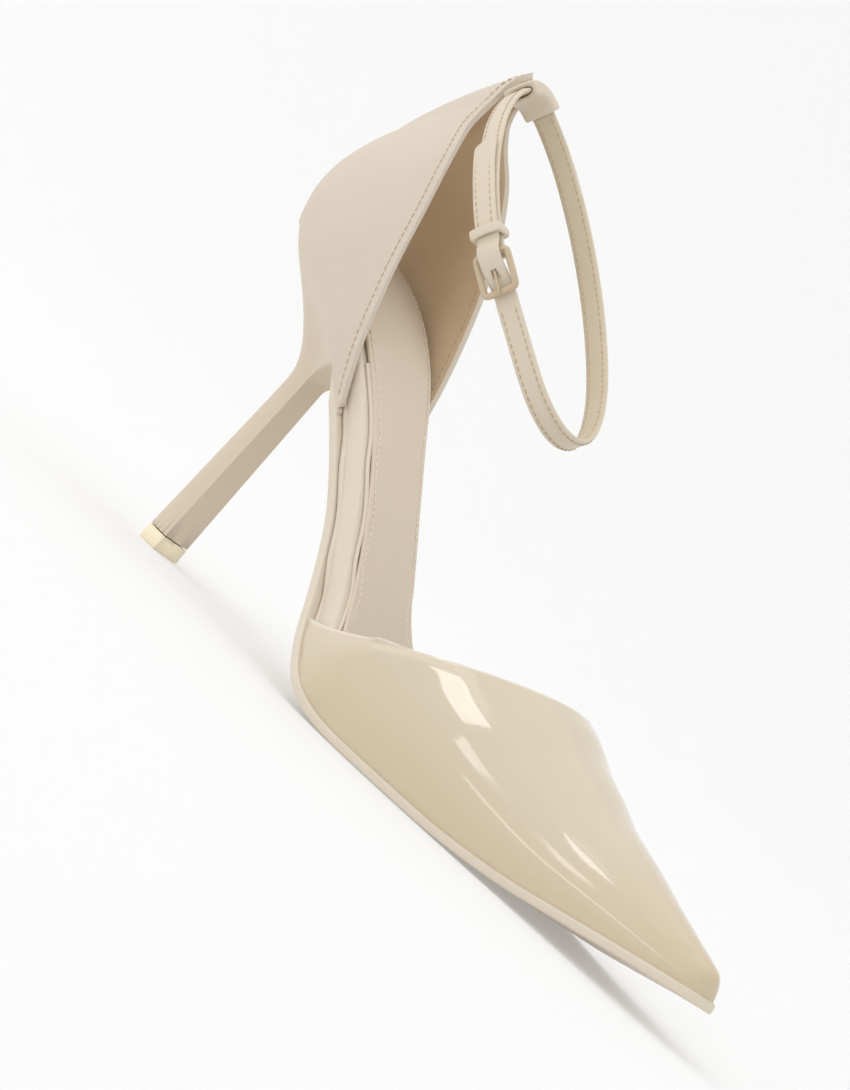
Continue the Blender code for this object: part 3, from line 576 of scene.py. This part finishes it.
def ramp(tree, value, start, end):
    """A smooth step of a value between two limits."""
    node = tree.nodes.new("ShaderNodeMapRange")
    node.interpolation_type = "SMOOTHSTEP"
    node.inputs["From Min"].default_value = start
    node.inputs["From Max"].default_value = end
    tree.links.new(value, node.inputs["Value"])
    return node.outputs["Result"]


def shade(value, start, end, strength):
    """A soft shade that grows from start to end and reaches its strength there."""
    return maths(tree, "MULTIPLY", ramp(tree, value, start, end), strength)


spot = tree.nodes.new("ShaderNodeTexCoord")
cut = tree.nodes.new("ShaderNodeSeparateXYZ")
tree.links.new(spot.outputs["UV"], cut.inputs["Vector"])
haze = tree.nodes.new("ShaderNodeTexNoise")
haze.inputs["Scale"].default_value = HAZE_SCALE
tree.links.new(spot.outputs["Object"], haze.inputs["Vector"])
from_ridge = maths(tree, "ABSOLUTE", maths(tree, "SUBTRACT", cut.outputs["X"], 0.5))
foot_shade = shade(from_ridge, *FOOT_SHADE)
toe_shade = shade(cut.outputs["Y"], *TOE_SHADE)
depth_shade = maths(tree, "ADD", maths(tree, "MAXIMUM", foot_shade, toe_shade),
                    maths(tree, "MULTIPLY", maths(tree, "SUBTRACT", haze.outputs["Fac"], 0.5), HAZE_SHARE))
throat_clear = shade(cut.outputs["Y"], *THROAT_CLEAR)
deep = maths(tree, "MULTIPLY", depth_shade, maths(tree, "SUBTRACT", 1.0, throat_clear))
body = mixed(tree, VINYL_CLEAR, VINYL_DEEP, deep)
rim_light = shade(cut.outputs["Y"], *RIM_LIGHT)
tree.links.new(mixed(tree, body, VINYL_RIM, rim_light), vinyl_shader.inputs["Base Color"])
ripple = tree.nodes.new("ShaderNodeBump")
ripple.inputs["Strength"].default_value = RIPPLE_STRENGTH
ripple.inputs["Distance"].default_value = RIPPLE_DEPTH
slow = tree.nodes.new("ShaderNodeTexNoise")
slow.inputs["Scale"].default_value = RIPPLE_SCALE
slow.inputs["Detail"].default_value = 1
tree.links.new(spot.outputs["Object"], slow.inputs["Vector"])
tree.links.new(slow.outputs["Fac"], ripple.inputs["Height"])
tree.links.new(ripple.outputs["Normal"], vinyl_shader.inputs["Normal"])
print("vinyl", len(tree.nodes), "nodes")

# %% [markdown]
# The vamp is the low front of the shoe, one sheet pulled over the last from the sole's outer edge,
# over the instep and down the inner side. Its throat is cut nearly straight when seen from the side.
# It could be sculpted, but a grid laid on the last keeps its edges true to the sole. The grid is
# then relaxed, because the smallest wave would break up a highlight on a face this glossy.

# %% Vamp
FOOT_TUCK = 0.0003
NOSE_STARTS, NOSE_TUCK = 0.93, 0.70
VAMP_GRID, RELAX_ROUNDS, RELAX_STEPS = 72, 900, (0.50, -0.507)
THROAT_HALVINGS, THROAT_POINTS = 30, 361
ROWS_EVEN, ROWS_EASED = 0.35, 0.325
VAMP_RIM = 0.0003
VAMP_EDGES = {side: outline(side, VAMP_LEDGE) for side in (LATERAL, MEDIAL)}


def vamp_point(along, turn):
    out = [np.interp(along, *VAMP_EDGES[side]) for side in (LATERAL, MEDIAL)]
    middle, half = (out[0] - out[1]) / 2, (out[0] + out[1]) / 2
    foot = OUTSOLE_THICKNESS - FOOT_TUCK
    return place(along, middle + half * np.cos(turn), foot + crown_at(along) * np.sin(turn))


def throat_start(turn):
    """Distance along at which the vamp's edge crosses, for each turn over the foot."""
    outer = np.cos(turn) > 0
    low = np.where(outer, VAMP_CORNER[LATERAL], VAMP_CORNER[MEDIAL])
    corner = vamp_point(low, np.where(outer, 0.0, math.pi))
    peak = vamp_point(THROAT_AT, math.pi / 2)
    high = np.full_like(low, THROAT_AT)
    for _ in range(THROAT_HALVINGS):
        middle = (low + high) / 2
        point = vamp_point(middle, turn)
        share = np.clip((point[:, 1] - corner[:, 1]) / (peak[1] - corner[:, 1]), 0, None)
        behind = point[:, 2] > corner[:, 2] + (peak[2] - corner[:, 2]) * share ** THROAT_SAG
        low, high = np.where(behind, middle, low), np.where(behind, high, middle)
    return (low + high) / 2


def relaxed(grid):
    """Take the waves out of a grid of points and keep its edges and its size."""
    for _ in range(RELAX_ROUNDS):
        for step in RELAX_STEPS:
            middle = grid[1:-1, 1:-1]
            around = (grid[:-2, 1:-1] + grid[2:, 1:-1] + grid[1:-1, :-2] + grid[1:-1, 2:]) / 4
            grid[1:-1, 1:-1] = middle + (around - middle) * step
    return grid


def lay_vamp(u, v):
    turn = u * math.pi
    ends = np.linspace(0, 1, THROAT_POINTS)
    start = np.interp(u, ends, throat_start(ends * math.pi))
    nose = LENGTH - VAMP_LEDGE - FIT_GAP
    share = ROWS_EVEN * v + ROWS_EASED * (1 - np.cos(math.pi * v))
    points = vamp_point(start + (nose - start) * share, turn)
    points = relaxed(points.reshape(VAMP_GRID + 1, VAMP_GRID + 1, 3)).reshape(-1, 3)
    nose_share = np.clip((v - NOSE_STARTS) / (1 - NOSE_STARTS), 0, 1)
    tuck = (1 - np.sqrt(1 - nose_share ** 2)) * NOSE_TUCK
    floor_of_nose = underside(nose) + OUTSOLE_THICKNESS
    points[:, 2] -= np.maximum(points[:, 2] - floor_of_nose, 0) * tuck
    return points


vamp = pattern("vamp_vinyl", VAMP_GRID, VAMP_GRID, lay_vamp)
vamp.data.materials.append(vinyl)
bpy.ops.object.mode_set(mode="EDIT")
bpy.ops.mesh.select_all(action="DESELECT")
bpy.ops.object.mode_set(mode="OBJECT")
for vertex in vamp.data.vertices:
    vertex.select = vertex.index >= len(vamp.data.vertices) - VAMP_GRID - 1
bpy.ops.object.mode_set(mode="EDIT")
bpy.ops.mesh.edge_face_add()
bpy.ops.mesh.select_all(action="SELECT")
bpy.ops.mesh.normals_make_consistent(inside=False)
bpy.ops.object.mode_set(mode="OBJECT")
wall(vamp, VAMP_WALL, VAMP_RIM)
settle(vamp, "vamp")
print("vamp", len(vamp.data.polygons), "faces")

# %% [markdown]
# The counter is the stiff back of the upper. It stands up from the seat all round the heel of the
# foot and leans in towards the collar. A grid swept from the seat's outline up to the collar's gives
# it one even curve. Its outside is smooth leather and its inside suede, so the wall that Solidify
# adds carries two materials.

# %% Counter
Collar = namedtuple("Collar", "path along up out")
COLLAR = [
    Collar(0.00, 0.00, 0.000, 1.02),
    Collar(0.08, 0.08, 0.071, 1.05),
    Collar(0.18, 0.175, 0.163, 1.08),
    Collar(0.35, 0.33, 0.326, 1.02),
    Collar(0.55, 0.53, 0.529, 0.86),
    Collar(0.75, 0.775, 0.710, 0.62),
    Collar(0.88, 0.950, 0.812, 0.37),
    Collar(0.94, 0.990, 0.862, 0.26),
    Collar(0.975, 1.000, 0.955, 0.17),
    Collar(1.00, 1.00, 1.000, 0.00),
]
SEAT_TUCK = 0.0006
CORNER_TURN = np.array((0, 0.0003, 0.0016))
COUNTER_COLUMNS, COUNTER_ROWS, COUNTER_RIM = 120, 48, 0.0004
collar_forward, collar_up, collar_out = (
    smooth_curve([row.path for row in COLLAR], [getattr(row, name) for row in COLLAR])
    for name in ("along", "up", "out"))


def seat_path(side, corner):
    """Outline of the seat from its front corner to the middle of the back, by share of its length."""
    along, width = outline(side, COUNTER_LEDGE)
    keep = along <= corner
    front = np.interp(corner, along, width)
    along = np.concatenate([[along[0]], along[keep], [corner]])[::-1]
    width = np.concatenate([[0.0], width[keep], [front]])[::-1]
    length = np.concatenate([[0], np.cumsum(np.hypot(np.diff(along), np.diff(width)))])
    return length / length[-1], along, width


def counter_point(side, share, t):
    """Point of the counter: share runs from the front corner to the back, t from seat to collar."""
    corner = COUNTER_CORNER[side]
    path, along, width = seat_path(side, corner)
    a, w = np.interp(share, path, along), np.interp(share, path, width)
    lift = OUTSOLE_THICKNESS + FIT_GAP
    base = place(a, side * w, lift - SEAT_TUCK)
    foot = place(np.array(corner), 0.0, lift)
    foot_y, foot_z = foot[1] - SHIFT_Y, foot[2]
    top = underside(0.0) + lift + COLLAR_HEIGHT
    edge_along = -foot_y + (COLLAR_AT + foot_y) * collar_forward(share)
    below = np.interp(edge_along, along[::-1], width[::-1])
    edge = np.stack([SHIFT_X - side * below * collar_out(share), SHIFT_Y - edge_along,
                     foot_z + (top - foot_z) * collar_up(share)], axis=-1)
    first = share < 1e-4
    edge[first] = base[first] + CORNER_TURN
    size = np.minimum(1.0, np.linalg.norm(edge - base, axis=-1) / (COLLAR_HEIGHT * SWELL_REACH))
    away = np.stack([base[:, 0] - SHIFT_X, base[:, 1] - SHIFT_Y + COLLAR_AT, np.zeros_like(w)], axis=-1)
    away /= np.linalg.norm(away, axis=-1, keepdims=True)
    lean = np.stack([t**2, t**2, t], axis=-1)
    swell = COUNTER_SWELL * np.sin(math.pi * t) * size ** 2
    return base + (edge - base) * lean + away * swell[:, None]


def lay_counter(u, v):
    """The grid's left half is the outer side and its right half the inner one."""
    points = np.empty((len(u), 3))
    for side, here in ((LATERAL, u <= 0.5), (MEDIAL, u > 0.5)):
        share = 1 - abs(2 * u[here] - 1)
        points[here] = counter_point(side, share, v[here])
    return points


counter = pattern("counter_leather", COUNTER_COLUMNS, COUNTER_ROWS, lay_counter)
for material in (beige, suede):
    counter.data.materials.append(material)
counter.data.flip_normals()
wall(counter, COUNTER_WALL, COUNTER_RIM, inside_material=1)
settle(counter, "counter")
print("counter", len(counter.data.polygons), "faces")

# %% [markdown]
# The sole is built up in layers that follow the last: a thin outsole, a wrapped foot board and a
# padded sock, on a covered heel with a small lift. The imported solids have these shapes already, so
# each piece is a rounded copy of its solid. Only the outsole changes: it is pared thin where it
# starts at the heel's breast.

# %% Sole, heel and lift
FEATHER, FEATHER_THIN, FEATHER_NARROW = 0.007, 0.8, 0.06
outsole = dressed("outsole", "outsole_sheet", edge_cream, crease=60)
start = max(vertex.co.y for vertex in outsole.data.vertices)
for vertex in outsole.data.vertices:
    near = 1 - min((start - vertex.co.y) / FEATHER, 1)
    low = float(underside(SHIFT_Y - vertex.co.y))
    if vertex.co.z < low + OUTSOLE_THICKNESS:
        vertex.co.z += (low + OUTSOLE_THICKNESS - vertex.co.z) * FEATHER_THIN * near
    vertex.co.x = SHIFT_X + (vertex.co.x - SHIFT_X) * (1 - FEATHER_NARROW * near)
dressed("insole_board", "board_wrapped", board_beige, crease=60)
dressed("sock", "sock_padded", sock_beige, crease=60)
dressed("heel", "heel_covered", heel_leather, crease=38)
dressed("top_lift", "lift_tip", lift_cream, crease=38, levels=1)

# %% [markdown]
# The strap is one band that runs through the tab behind the ankle, round the front and over itself
# at the buckle. Its run is worked out here from the same turns as the solid's, because the stitches
# have to follow it.

# %% Run of the strap
STRAP_WIDTH, STRAP_THICKNESS = 0.0060, 0.0015
LOOP_LENGTH, LOOP_WIDTH = 0.1030, 0.0520
LOOP_DROP = math.radians(35.5)
TAB_WIDTH, TAB_WALL, TAB_STANDOFF, TAB_ABOVE = 0.0125, 0.0012, 0.0030, 0.0034
SLEEVE_CLEARANCE = 0.0004
BUCKLE_LENGTH, BUCKLE_WIRE, BUCKLE_FORWARD = 0.0110, 0.0012, 0.660
KEEPER_TO_BUCKLE, STRAP_TAIL = 0.0100, 0.0285
SPLINE_STEPS, STRAP_POINTS, TURN_REACH = 24, 240, 0.0008
Fold = namedtuple("Fold", "forward out")
LOOP = [
    Fold(0.000, 0.000),
    Fold(0.055, 0.190),
    Fold(0.190, 0.390),
    Fold(0.380, 0.530),
    Fold(0.590, 0.565),
    Fold(0.790, 0.435),
    Fold(0.950, 0.290),
    Fold(1.000, 0.090),
    Fold(0.940, -0.130),
    Fold(0.780, -0.300),
    Fold(0.560, -0.370),
    Fold(0.340, -0.350),
    Fold(0.160, -0.260),
    Fold(0.045, -0.130),
]
LOOP_FORWARD = np.array((0, -math.cos(LOOP_DROP), -math.sin(LOOP_DROP)))
LOOP_UP = np.array((0, -math.sin(LOOP_DROP), math.cos(LOOP_DROP)))
LOOP_OUT = np.array((-1.0, 0, 0))
half_tall = STRAP_WIDTH / 2 + SLEEVE_CLEARANCE + TAB_WALL
half_deep = STRAP_THICKNESS / 2 + SLEEVE_CLEARANCE + TAB_WALL
collar_top = float(underside(0.0)) + OUTSOLE_THICKNESS + FIT_GAP + COLLAR_HEIGHT
LOOP_START = (np.array((SHIFT_X, SHIFT_Y - COLLAR_AT, collar_top)) + LOOP_UP * (TAB_ABOVE - half_tall)
              + LOOP_FORWARD * (half_deep + TAB_STANDOFF + COUNTER_WALL))


def closed_spline(points):
    """A closed smooth curve through points: its length so far and its places in the plane."""
    size = len(points)
    dense = []
    for i in range(size):
        p0, p1, p2, p3 = (points[(i + k) % size] for k in (-1, 0, 1, 2))
        for t in np.arange(SPLINE_STEPS) / SPLINE_STEPS:
            dense.append(0.5 * (2 * p1 + (p2 - p0) * t + (2 * p0 - 5 * p1 + 4 * p2 - p3) * t * t
                                + (3 * p1 - p0 - 3 * p2 + p3) * t**3))
    dense = np.array(dense + dense[:1])
    return np.concatenate([[0], np.cumsum(np.linalg.norm(np.diff(dense, axis=0), axis=1))]), dense


RUN, TURN = closed_spline([np.array((row.forward * LOOP_LENGTH, row.out * LOOP_WIDTH)) for row in LOOP])
LOOP_ROUND = RUN[-1]
outer_half = RUN < LOOP_ROUND / 2
BUCKLE_SPOT = RUN[outer_half][np.argmin(abs(TURN[outer_half, 0] - BUCKLE_FORWARD * LOOP_LENGTH))]


def strap_line(start, end, across, level, face=1):
    """Points along the strap and the directions out of its face, from start to end round the loop."""
    spots = np.linspace(start, end, STRAP_POINTS)

    def plane(at):
        return np.stack([np.interp(at % LOOP_ROUND, RUN, TURN[:, k]) for k in range(2)], axis=-1)
    here, ahead = plane(spots), plane(spots + TURN_REACH) - plane(spots - TURN_REACH)
    ahead /= np.linalg.norm(ahead, axis=-1, keepdims=True)
    out = LOOP_FORWARD * -ahead[:, 1:] + LOOP_OUT * ahead[:, :1]
    points = LOOP_START + LOOP_FORWARD * here[:, :1] + LOOP_OUT * here[:, 1:]
    return points + out * level + LOOP_UP * across, out * face


print("strap round", round(float(LOOP_ROUND), 4), "m, buckle at", round(float(BUCKLE_SPOT), 4), "m")

# %% [markdown]
# Strap, tab, keeper and buckle are rounded copies of their imported solids. The strap's back is a
# rougher leather, painted darker for the shade that falls inside the loop, and each of its faces is
# sorted by the way that it looks: towards the middle of the loop is the back. The buckle is
# enamelled, so its bars grow by a coat of paint.

# %% Strap, tab, keeper and buckle
FACES_IN = 0.45
BUCKLE_PAINT = 0.00030
strap = dressed("ankle_strap", "strap_band", strap_beige, crease=60, levels=1)
strap.data.materials.append(shaded_strap_back)
loop_middle = Vector(LOOP_START + (LOOP_FORWARD * 0.5 * LOOP_LENGTH))
# Faces turned to the loop's middle take the back leather, darkened with painted shade.
for face in strap.data.polygons:
    inwards = (loop_middle - face.center).normalized()
    face.material_index = 1 if face.normal.dot(inwards) > FACES_IN else 0
dressed("back_tab", "tab_tunnel", strap_beige, crease=100)
dressed("keeper", "keeper_loop", strap_beige, crease=100)
buckle = dressed("buckle_frame", "buckle_bars", enamel, crease=50, levels=1)
places = [vertex.co + vertex.normal * BUCKLE_PAINT for vertex in buckle.data.vertices]
for vertex, spot in zip(buckle.data.vertices, places):
    vertex.co = spot
dressed("buckle_prong", "buckle_pin", enamel, crease=50, levels=1)

# %% [markdown]
# Stitches are small lozenges of thread, sunk a little in the leather and set end to end along a line
# that follows the edge. Painted ones would look flat where the edge turns away, so one is modelled
# and copied along each line, and all the stitches of a piece are one mesh.

# %% Stitches
STITCH_LENGTH, STITCH_WIDTH, STITCH_GAP = 0.0013, 0.00036, 0.0006
STITCH_BODY, STITCH_END, STITCH_TIP = 0.62, 0.19, 0.45
STITCH_SIDES, STITCH_REACH = 6, 0.0004


def one_stitch():
    """Points and faces of a stitch that lies along X."""
    bpy.ops.object.select_all(action="DESELECT")
    bpy.ops.mesh.primitive_cylinder_add(vertices=STITCH_SIDES, radius=STITCH_WIDTH / 2,
                                        depth=STITCH_LENGTH * STITCH_BODY, rotation=(0, math.pi / 2, 0))
    piece = bpy.context.object
    bpy.ops.object.transform_apply(location=True, rotation=True, scale=True)
    bpy.ops.object.mode_set(mode="EDIT")
    bpy.ops.mesh.select_mode(type="FACE")
    bpy.ops.mesh.select_all(action="DESELECT")
    bpy.ops.object.mode_set(mode="OBJECT")
    for side in (-1, 1):
        for face in piece.data.polygons:
            face.select = face.normal.x * side > 0.9
        bpy.ops.object.mode_set(mode="EDIT")
        end = side * STITCH_LENGTH * STITCH_END
        bpy.ops.mesh.extrude_region_move(TRANSFORM_OT_translate={"value": (end, 0, 0)})
        bpy.ops.transform.resize(value=(1.0, STITCH_TIP, STITCH_TIP))
        bpy.ops.mesh.select_all(action="DESELECT")
        bpy.ops.object.mode_set(mode="OBJECT")
    points = np.array([vertex.co[:] for vertex in piece.data.vertices])
    faces = [tuple(face.vertices) for face in piece.data.polygons]
    bpy.data.objects.remove(piece)
    return points, faces


STITCH_POINTS, STITCH_FACES = one_stitch()


def stitch_rows(name, rows, material):
    """Stitches along several lines; a row is its points and the directions out of the leather."""
    points, faces = [], []
    for line, out in rows:
        length = np.concatenate([[0], np.cumsum(np.linalg.norm(np.diff(line, axis=0), axis=1))])
        count = int(length[-1] / (STITCH_LENGTH + STITCH_GAP))
        for spot in (np.arange(count) + 0.5) * length[-1] / count:
            middle, ahead, behind, away = (
                np.array([np.interp(at, length, source[:, k]) for k in range(3)])
                for at, source in ((spot, line), (spot + STITCH_REACH, line), (spot - STITCH_REACH, line),
                                   (spot, out)))
            along = (ahead - behind) / np.linalg.norm(ahead - behind)
            away = away - along * (away @ along)
            away /= np.linalg.norm(away)
            axes = np.stack([along, np.cross(away, along), away])
            first = len(points) * len(STITCH_POINTS)
            points.append(middle + STITCH_POINTS @ axes)
            faces += [tuple(first + k for k in face) for face in STITCH_FACES]
    mesh = bpy.data.meshes.new(name)
    mesh.from_pydata(np.concatenate(points).tolist(), [], faces)
    mesh.materials.append(material)
    piece = bpy.data.objects.new(name, mesh)
    bpy.context.scene.collection.objects.link(piece)
    point_out(piece)
    bpy.ops.object.shade_smooth()
    settle(piece)
    print(name, len(points), "stitches")
    return piece


def surface_normal(point_at, a, b, reach=0.002):
    """Direction square to a surface given by two arrays of parameters."""
    across = point_at(np.clip(a + reach, 0, 1), b) - point_at(np.clip(a - reach, 0, 1), b)
    up = point_at(a, np.clip(b + reach, 0, 1)) - point_at(a, np.clip(b - reach, 0, 1))
    normal = np.cross(across, up)
    return normal / np.linalg.norm(normal, axis=-1, keepdims=True)


# %% [markdown]
# The counter is stitched through along its topline, so its line of stitches shows on both faces of
# the wall. It keeps its distance from the edge where the edge runs aslant to the grid.

# %% Counter stitches
TOPLINE_MARGIN, TOPLINE_STARTS, TOPLINE_POINTS = 0.0018, 0.05, 160
TOPLINE_STEP, STEEPEST, LOWEST = 0.03, 0.25, 0.3
STITCH_LIFT = 0.00003
rows = []
for side in (LATERAL, MEDIAL):
    share = np.linspace(TOPLINE_STARTS, 1.0, TOPLINE_POINTS)
    edge = counter_point(side, share, np.ones_like(share))
    lower = counter_point(side, share, np.full_like(share, 1 - TOPLINE_STEP))
    column = np.linalg.norm(edge - lower, axis=-1) / TOPLINE_STEP
    run = np.gradient(edge, axis=0)
    run /= np.linalg.norm(run, axis=-1, keepdims=True)
    rise = (edge - lower) / np.linalg.norm(edge - lower, axis=-1, keepdims=True)
    square = np.maximum(np.linalg.norm(np.cross(run, rise), axis=-1), STEEPEST)
    t = 1 - TOPLINE_MARGIN / (column * square)
    keep = t > LOWEST
    line = counter_point(side, share[keep], t[keep])
    out = surface_normal(lambda a, b: counter_point(side, a, b), share[keep], t[keep])
    out *= np.sign(out[:, :1] * -side)
    rows.append((line + out * STITCH_LIFT, out))
    rows.append((line - out * (COUNTER_WALL + STITCH_LIFT), -out))
stitch_rows("counter_stitches", rows, thread_tan)

# %% [markdown]
# The strap has a row of stitches along each edge, on both faces. The rows stop where the tab, the
# keeper, the buckle or the strap's own tail covers them.

# %% Strap stitches
STRAP_MARGIN, STRAP_SINK = 0.0011, 0.00006
FRAME_CLEAR, TAB_CLEAR, TAIL_CLEAR, TAIL_START = 0.004, 0.001, 0.001, 0.003
KEEPER_CLEAR, HINGE_CLEAR, LAP_GAPS = 0.0018, 0.0010, 1.5
hinge = BUCKLE_SPOT - (BUCKLE_LENGTH - BUCKLE_WIRE) / 2
round_front = BUCKLE_SPOT + (BUCKLE_LENGTH - BUCKLE_WIRE) / 2 - LOOP_ROUND + FRAME_CLEAR
keeper_spot = BUCKLE_SPOT - KEEPER_TO_BUCKLE
tail_tip = keeper_spot - STRAP_TAIL
second = STRAP_THICKNESS + FIT_GAP * LAP_GAPS
face_level = STRAP_THICKNESS / 2 - STRAP_SINK
tab_back, tab_front = -TAB_WIDTH / 2 - TAB_CLEAR, TAB_WIDTH / 2 + TAB_CLEAR
rows = []
for across in (STRAP_WIDTH / 2 - STRAP_MARGIN, STRAP_MARGIN - STRAP_WIDTH / 2):
    rows.append(strap_line(round_front, tab_back, across, face_level))
    rows.append(strap_line(tab_front, tail_tip - TAIL_CLEAR, across, face_level))
    for start, end in ((tail_tip + TAIL_START, keeper_spot - KEEPER_CLEAR),
                       (keeper_spot + KEEPER_CLEAR, hinge - HINGE_CLEAR)):
        rows.append(strap_line(start, end, across, second + face_level))
    rows.append(strap_line(round_front, tab_back, across, -face_level, -1))
    rows.append(strap_line(tab_front, hinge, across, -face_level, -1))
stitch_rows("strap_stitches", rows, thread_tan)

# %% [markdown]
# The sock's edge is stitched down with a paler thread, a little way in from its outline.

# %% Sock stitches
SOCK_STITCH_IN, SOCK_STITCH_SPAN, SOCK_POINTS = 0.0014, (0.012, 0.190), 240
ABOVE = 0.001


def sock_inset(along):
    return board_inset(along) + SOCK_MARGIN * smooth_step(along, 0.0, BREAST_AT)


def edge_run(side, inset, span, count):
    """Distances along a stretch of the sole's edge and its half widths there."""
    along, width = outline(side, inset)
    spots = np.linspace(*span, count)
    return spots, np.interp(spots, along, width)


rows = []
sock_top = OUTSOLE_THICKNESS + 2 * FIT_GAP + SOCK_THICKNESS
for side in (LATERAL, MEDIAL):
    spots, width = edge_run(side, sock_inset, SOCK_STITCH_SPAN, SOCK_POINTS)
    width -= SOCK_STITCH_IN
    line = place(spots, side * width, sock_top + board_at(spots))
    above = place(spots, side * width, sock_top + board_at(spots) + ABOVE)
    rows.append((line, above - line))
stitch_rows("sock_stitches", rows, thread_cream)

# %% [markdown]
# In the open waist a fine rolled welt closes the seam between the wrapped board and the sock, and a
# thicker roll the one between board and outsole. Both are round cords, so each is a curve with a
# bevel, run along points of the sole's edge and then made a mesh.

# %% Waist welt
WELT_RADIUS, WELT_SPAN, WELT_OUT, WELT_UP = 0.00055, (0.050, 0.125), 0.7, 0.5
FOOT_RADIUS, FOOT_SPAN, FOOT_IN, FOOT_UP = 0.0009, (0.048, 0.110), 0.6, 0.85
CORD_POINTS = 90


def bead(name, lines, radius, material):
    """Round cords along lines of points, made as one mesh."""
    curve = bpy.data.curves.new(name, "CURVE")
    curve.dimensions = "3D"
    curve.bevel_depth = radius
    curve.bevel_resolution = 3
    curve.use_fill_caps = True
    for line in lines:
        spline = curve.splines.new("POLY")
        spline.points.add(len(line) - 1)
        for point, spot in zip(spline.points, line):
            point.co = (*spot, 1.0)
    piece = bpy.data.objects.new(name, curve)
    bpy.context.scene.collection.objects.link(piece)
    only(piece)
    bpy.ops.object.convert(target="MESH")
    piece = bpy.context.object
    piece.data.materials.clear()
    piece.data.materials.append(material)
    bpy.ops.object.shade_smooth()
    return settle(piece)


welts, feet = [], []
for side in (LATERAL, MEDIAL):
    spots, width = edge_run(side, sock_inset, WELT_SPAN, CORD_POINTS)
    height = OUTSOLE_THICKNESS + FIT_GAP + board_at(spots) + WELT_RADIUS * WELT_UP
    welts.append(place(spots, side * (width + WELT_RADIUS * WELT_OUT), height))
    spots, width = edge_run(side, board_inset, FOOT_SPAN, CORD_POINTS)
    height = OUTSOLE_THICKNESS + FOOT_RADIUS * FOOT_UP
    feet.append(place(spots, side * (width - FOOT_RADIUS * FOOT_IN), height))
for name, lines, radius in (("waist_welt", welts, WELT_RADIUS), ("board_foot", feet, FOOT_RADIUS)):
    print(name, len(bead(name, lines, radius, board_beige).data.polygons), "faces")
